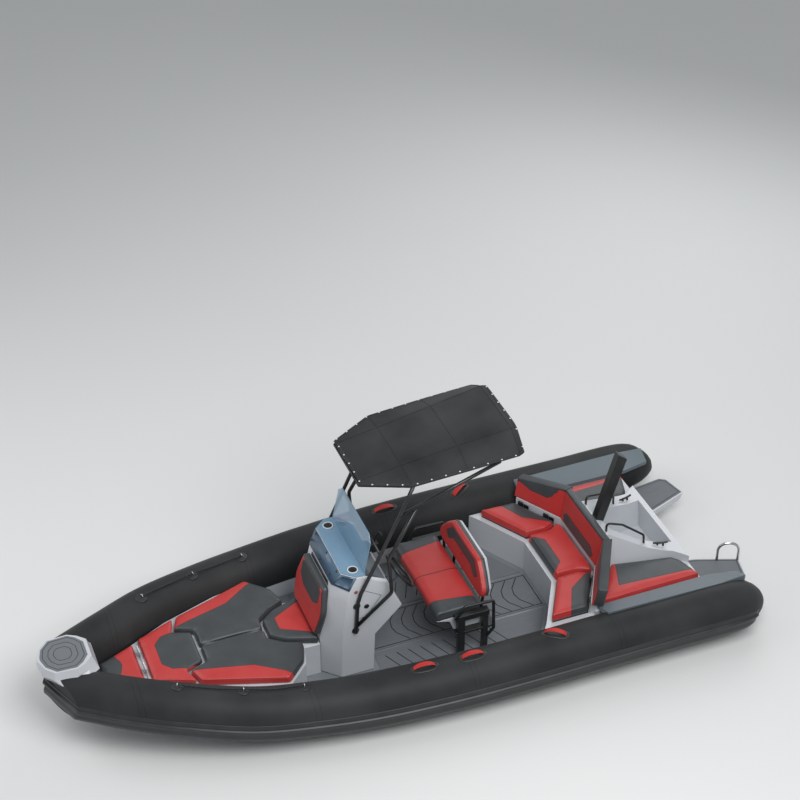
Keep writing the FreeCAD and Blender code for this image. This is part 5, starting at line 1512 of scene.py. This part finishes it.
# Node, finish, edge radius, slot, body
MOULDINGS = (
    ("console", "gelcoat", 0.012, "grp", "boat"),
    ("aft_deck", "gelcoat", 0.010, "grp", "boat"),
    ("aft_seat_base", "gelcoat", 0.008, "grp", "boat"),
    ("swim_platforms", "gelcoat", 0.010, "grp", "boat"),
    ("bow_locker", "gelcoat", 0.008, "grp", "boat"),
    ("bow_locker_lid", "gelcoat", 0.004, "grp", "bow_lid"),
    ("seat_lid_port", "coat", 0.003, "grp", "port_lid"),
    ("seat_lid_starboard", "coat", 0.003, "grp", "starboard_lid"),
    ("nose_step", "gelcoat", 0.008, "grp", "boat"),
    ("quarter_fairings", "fairing", 0.010, "grp", "boat"),
    ("helm_shell", "gelcoat", 0.008, "grp", "boat"),
    ("helm_seat_pan", "gelcoat", 0.006, "grp", "boat"),
    ("dashboard", "dash", 0.006, "dash_plastic", "boat"),
    ("tow_mast", "coat", 0.006, "black_metal", "boat"),
    ("throttle", "plastic", 0.004, "dash_plastic", "boat"),
)
KEPT = (("deck_liner", "liner"), ("deck_mats", "foam"), ("platform_mats", "foam"), ("nose_mat", "foam"),
        ("windscreen", "acrylic"), ("lid_hinges", "steel"))


def build_mouldings():
    """Gelcoat and plastic mouldings as rounded copies of the frame's solids."""
    for name, skin, width, slot, body in MOULDINGS:
        rounded_copy(name, skin, width, body)


def dress_kept_nodes():
    """Give the frame's own solids their finish where their shape is already right."""
    for name, skin in KEPT:
        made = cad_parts[name]
        made.data.materials.clear()
        made.data.materials.append(SKIN[skin])


# Stage

# Camera solved from the photograph: place, degrees down, compass direction of view, lens in mm
CAMERA_AT = (7.122, 11.253, 11.360)
CAMERA_DOWN = 35.7889
CAMERA_WAY = -111.4118
CAMERA_LENS = 78.685
LAMPS = (("key_soft", (2.0, 5.5, 9.0), 720), ("fill_soft", (9.0, -3.0, 6.0), 200),
         ("back_soft", (-4.0, -6.0, 6.0), 200))
LAMP_AIM = (2.8, 0, 0)


def build_stage():
    """Camera at the photograph's viewing angle, pale floor, three soft lamps and pale air."""
    scene = bpy.context.scene
    data = bpy.data.cameras.new("photo_view")
    camera = bpy.data.objects.new("photo_view", data)
    bpy.context.collection.objects.link(camera)
    camera.location = CAMERA_AT
    camera.rotation_euler = (math.radians(90 - CAMERA_DOWN), 0, math.radians(CAMERA_WAY - 90))
    data.sensor_width = 36
    data.lens = CAMERA_LENS
    data.clip_end = 200
    scene.camera = camera
    mesh = bpy.data.meshes.new("pale_floor")
    mesh.from_pydata([(-40, -40, 0), (40, -40, 0), (40, 40, 0), (-40, 40, 0)], [], [(0, 1, 2, 3)])
    floor = bpy.data.objects.new("pale_floor", mesh)
    bpy.context.collection.objects.link(floor)
    # painted studio floor: matt pale grey with a faint drift
    finish("floor", "pale_floor_paint", srgb("#d9dad9"), 0.8, (0.5, srgb("#d3d5d5"), 0.4))
    mesh.materials.append(SKIN["floor"])
    for name, place, power in LAMPS:
        lamp = bpy.data.lights.new(name, "AREA")
        lamp.energy = power
        lamp.size = 6.0
        made = bpy.data.objects.new(name, lamp)
        bpy.context.collection.objects.link(made)
        made.location = place
        way = np.array(LAMP_AIM) - np.array(place)
        made.rotation_euler = (math.atan2(np.hypot(way[0], way[1]), -way[2]), 0,
                               math.atan2(way[1], way[0]) - math.pi / 2)
    world = bpy.data.worlds.new("studio_air")
    scene.world = world
    world.use_nodes = True
    back = world.node_tree.nodes["Background"]
    back.inputs["Color"].default_value = srgb("#e8ebee")
    back.inputs["Strength"].default_value = 0.5
    scene.view_settings.view_transform = "Standard"


def build_finishes():
    """Make every material, then dress the nodes that stay."""
    for make in (tube_cloth, cushion_vinyl, deck_foam, hull_gelcoat, plain_finishes):
        make()
    dress_kept_nodes()


# Operators, one for each piece or group of like pieces


class RIBBOAT_OT_finishes(bpy.types.Operator):
    """Make the materials and dress the nodes that stay"""
    bl_idname = "ribboat.finishes"
    bl_label = "Finishes"

    def execute(self, context):
        build_finishes()
        return {"FINISHED"}


class RIBBOAT_OT_stage(bpy.types.Operator):
    """Camera, pale floor and soft light"""
    bl_idname = "ribboat.stage"
    bl_label = "Stage"

    def execute(self, context):
        build_stage()
        return {"FINISHED"}


class RIBBOAT_OT_tubes(bpy.types.Operator):
    """Coated cloth tubes with welded seams"""
    bl_idname = "ribboat.tubes"
    bl_label = "Air tubes"

    def execute(self, context):
        build_tubes()
        return {"FINISHED"}


class RIBBOAT_OT_rubbing_band(bpy.types.Operator):
    """Ribbed rubber band round the tubes"""
    bl_idname = "ribboat.rubbing_band"
    bl_label = "Rubbing band"

    def execute(self, context):
        build_rubbing_band()
        return {"FINISHED"}


class RIBBOAT_OT_hull(bpy.types.Operator):
    """Deep-V gelcoat skin with lifting strakes"""
    bl_idname = "ribboat.hull"
    bl_label = "Hull skin"

    def execute(self, context):
        build_hull()
        return {"FINISHED"}


class RIBBOAT_OT_mouldings(bpy.types.Operator):
    """Console, seat bases, platforms and shells with rounded edges"""
    bl_idname = "ribboat.mouldings"
    bl_label = "Mouldings"

    def execute(self, context):
        build_mouldings()
        return {"FINISHED"}


class RIBBOAT_OT_bow_cushions(bpy.types.Operator):
    """Sun deck pads, lid pad and console seat pad"""
    bl_idname = "ribboat.bow_cushions"
    bl_label = "Bow cushions"

    def execute(self, context):
        build_bow_cushions()
        return {"FINISHED"}


class RIBBOAT_OT_aft_cushions(bpy.types.Operator):
    """Horseshoe seat pads and sun pads"""
    bl_idname = "ribboat.aft_cushions"
    bl_label = "Aft cushions"

    def execute(self, context):
        build_aft_cushions()
        return {"FINISHED"}


class RIBBOAT_OT_aft_backs(bpy.types.Operator):
    """Three padded backrests"""
    bl_idname = "ribboat.aft_backs"
    bl_label = "Aft backrests"

    def execute(self, context):
        build_aft_backs()
        return {"FINISHED"}


class RIBBOAT_OT_helm_pads(bpy.types.Operator):
    """Helm cushion and backrest"""
    bl_idname = "ribboat.helm_pads"
    bl_label = "Helm pads"

    def execute(self, context):
        build_helm_pads()
        return {"FINISHED"}


class RIBBOAT_OT_console_pad(bpy.types.Operator):
    """Padded panel on the console's front"""
    bl_idname = "ribboat.console_pad"
    bl_label = "Console pad"

    def execute(self, context):
        build_console_pad()
        return {"FINISHED"}


class RIBBOAT_OT_canopy(bpy.types.Operator):
    """Cloth top with its hem, seams and snaps"""
    bl_idname = "ribboat.canopy"
    bl_label = "Canopy"

    def execute(self, context):
        build_canopy()
        return {"FINISHED"}


class RIBBOAT_OT_canopy_frame(bpy.types.Operator):
    """Bent tubes under the cloth"""
    bl_idname = "ribboat.canopy_frame"
    bl_label = "Canopy frame"

    def execute(self, context):
        build_canopy_frame()
        return {"FINISHED"}


class RIBBOAT_OT_top_frame(bpy.types.Operator):
    """Legs and struts of the top"""
    bl_idname = "ribboat.top_frame"
    bl_label = "Top frame"

    def execute(self, context):
        build_top_frame()
        return {"FINISHED"}


class RIBBOAT_OT_helm_frame(bpy.types.Operator):
    """Seat legs, plates and arms"""
    bl_idname = "ribboat.helm_frame"
    bl_label = "Helm frame"

    def execute(self, context):
        build_helm_frame()
        return {"FINISHED"}


class RIBBOAT_OT_rails(bpy.types.Operator):
    """Well rails, boarding hoop and stern cleats"""
    bl_idname = "ribboat.rails"
    bl_label = "Rails and cleats"

    def execute(self, context):
        build_rails()
        return {"FINISHED"}


class RIBBOAT_OT_rings(bpy.types.Operator):
    """Rubber patches and steel eyes"""
    bl_idname = "ribboat.rings"
    bl_label = "Rope rings"

    def execute(self, context):
        build_rings()
        return {"FINISHED"}


class RIBBOAT_OT_ropes(bpy.types.Operator):
    """Laid lifelines through the rings"""
    bl_idname = "ribboat.ropes"
    bl_label = "Bow ropes"

    def execute(self, context):
        build_ropes()
        return {"FINISHED"}


class RIBBOAT_OT_grab_handles(bpy.types.Operator):
    """Webbing arches over rubber patches"""
    bl_idname = "ribboat.grab_handles"
    bl_label = "Grab handles"

    def execute(self, context):
        build_grab_handles()
        return {"FINISHED"}


class RIBBOAT_OT_wheel(bpy.types.Operator):
    """Rim, spokes and hub"""
    bl_idname = "ribboat.wheel"
    bl_label = "Steering wheel"

    def execute(self, context):
        build_wheel()
        return {"FINISHED"}


class RIBBOAT_OT_console_details(bpy.types.Operator):
    """Screen panel, side doors, cup holders, bolts and port light"""
    bl_idname = "ribboat.console_details"
    bl_label = "Console details"

    def execute(self, context):
        build_console_details()
        return {"FINISHED"}


class RIBBOAT_OT_mat_grooves(bpy.types.Operator):
    """Routed lines in the foam mats"""
    bl_idname = "ribboat.mat_grooves"
    bl_label = "Mat grooves"

    def execute(self, context):
        build_mat_grooves()
        return {"FINISHED"}


OPERATORS = (
    RIBBOAT_OT_finishes,
    RIBBOAT_OT_stage,
    RIBBOAT_OT_tubes,
    RIBBOAT_OT_rubbing_band,
    RIBBOAT_OT_hull,
    RIBBOAT_OT_mouldings,
    RIBBOAT_OT_bow_cushions,
    RIBBOAT_OT_aft_cushions,
    RIBBOAT_OT_aft_backs,
    RIBBOAT_OT_helm_pads,
    RIBBOAT_OT_console_pad,
    RIBBOAT_OT_canopy,
    RIBBOAT_OT_canopy_frame,
    RIBBOAT_OT_top_frame,
    RIBBOAT_OT_helm_frame,
    RIBBOAT_OT_rails,
    RIBBOAT_OT_rings,
    RIBBOAT_OT_ropes,
    RIBBOAT_OT_grab_handles,
    RIBBOAT_OT_wheel,
    RIBBOAT_OT_console_details,
    RIBBOAT_OT_mat_grooves,
)


class RIBBOAT_PT_panel(bpy.types.Panel):
    """Sizes, colours and makers of the rib boat."""
    bl_idname = "RIBBOAT_PT_panel"
    bl_label = "Rib boat"
    bl_space_type = "VIEW_3D"
    bl_region_type = "UI"
    bl_category = "Rib boat"

    def draw(self, context):
        for group in (context.scene.rib_colours, context.scene.rib_sizes):
            column = self.layout.column()
            for name in group.__annotations__:
                column.prop(group, name)
        for made in OPERATORS:
            self.layout.operator(made.bl_idname)


CLASSES = (RibBoatColours, RibBoatSizes) + OPERATORS + (RIBBOAT_PT_panel,)


def register():
    """Register the classes and hang the two groups on the scene."""
    for made in CLASSES:
        bpy.utils.register_class(made)
    bpy.types.Scene.rib_colours = bpy.props.PointerProperty(type=RibBoatColours)
    bpy.types.Scene.rib_sizes = bpy.props.PointerProperty(type=RibBoatSizes)


def unregister():
    """Take the groups and the classes away again."""
    del bpy.types.Scene.rib_sizes
    del bpy.types.Scene.rib_colours
    for made in reversed(CLASSES):
        bpy.utils.unregister_class(made)


def main():
    """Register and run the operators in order."""
    register()
    for made in OPERATORS:
        getattr(bpy.ops.ribboat, made.bl_idname.split(".")[1])()


if __name__ == "__main__":
    main()
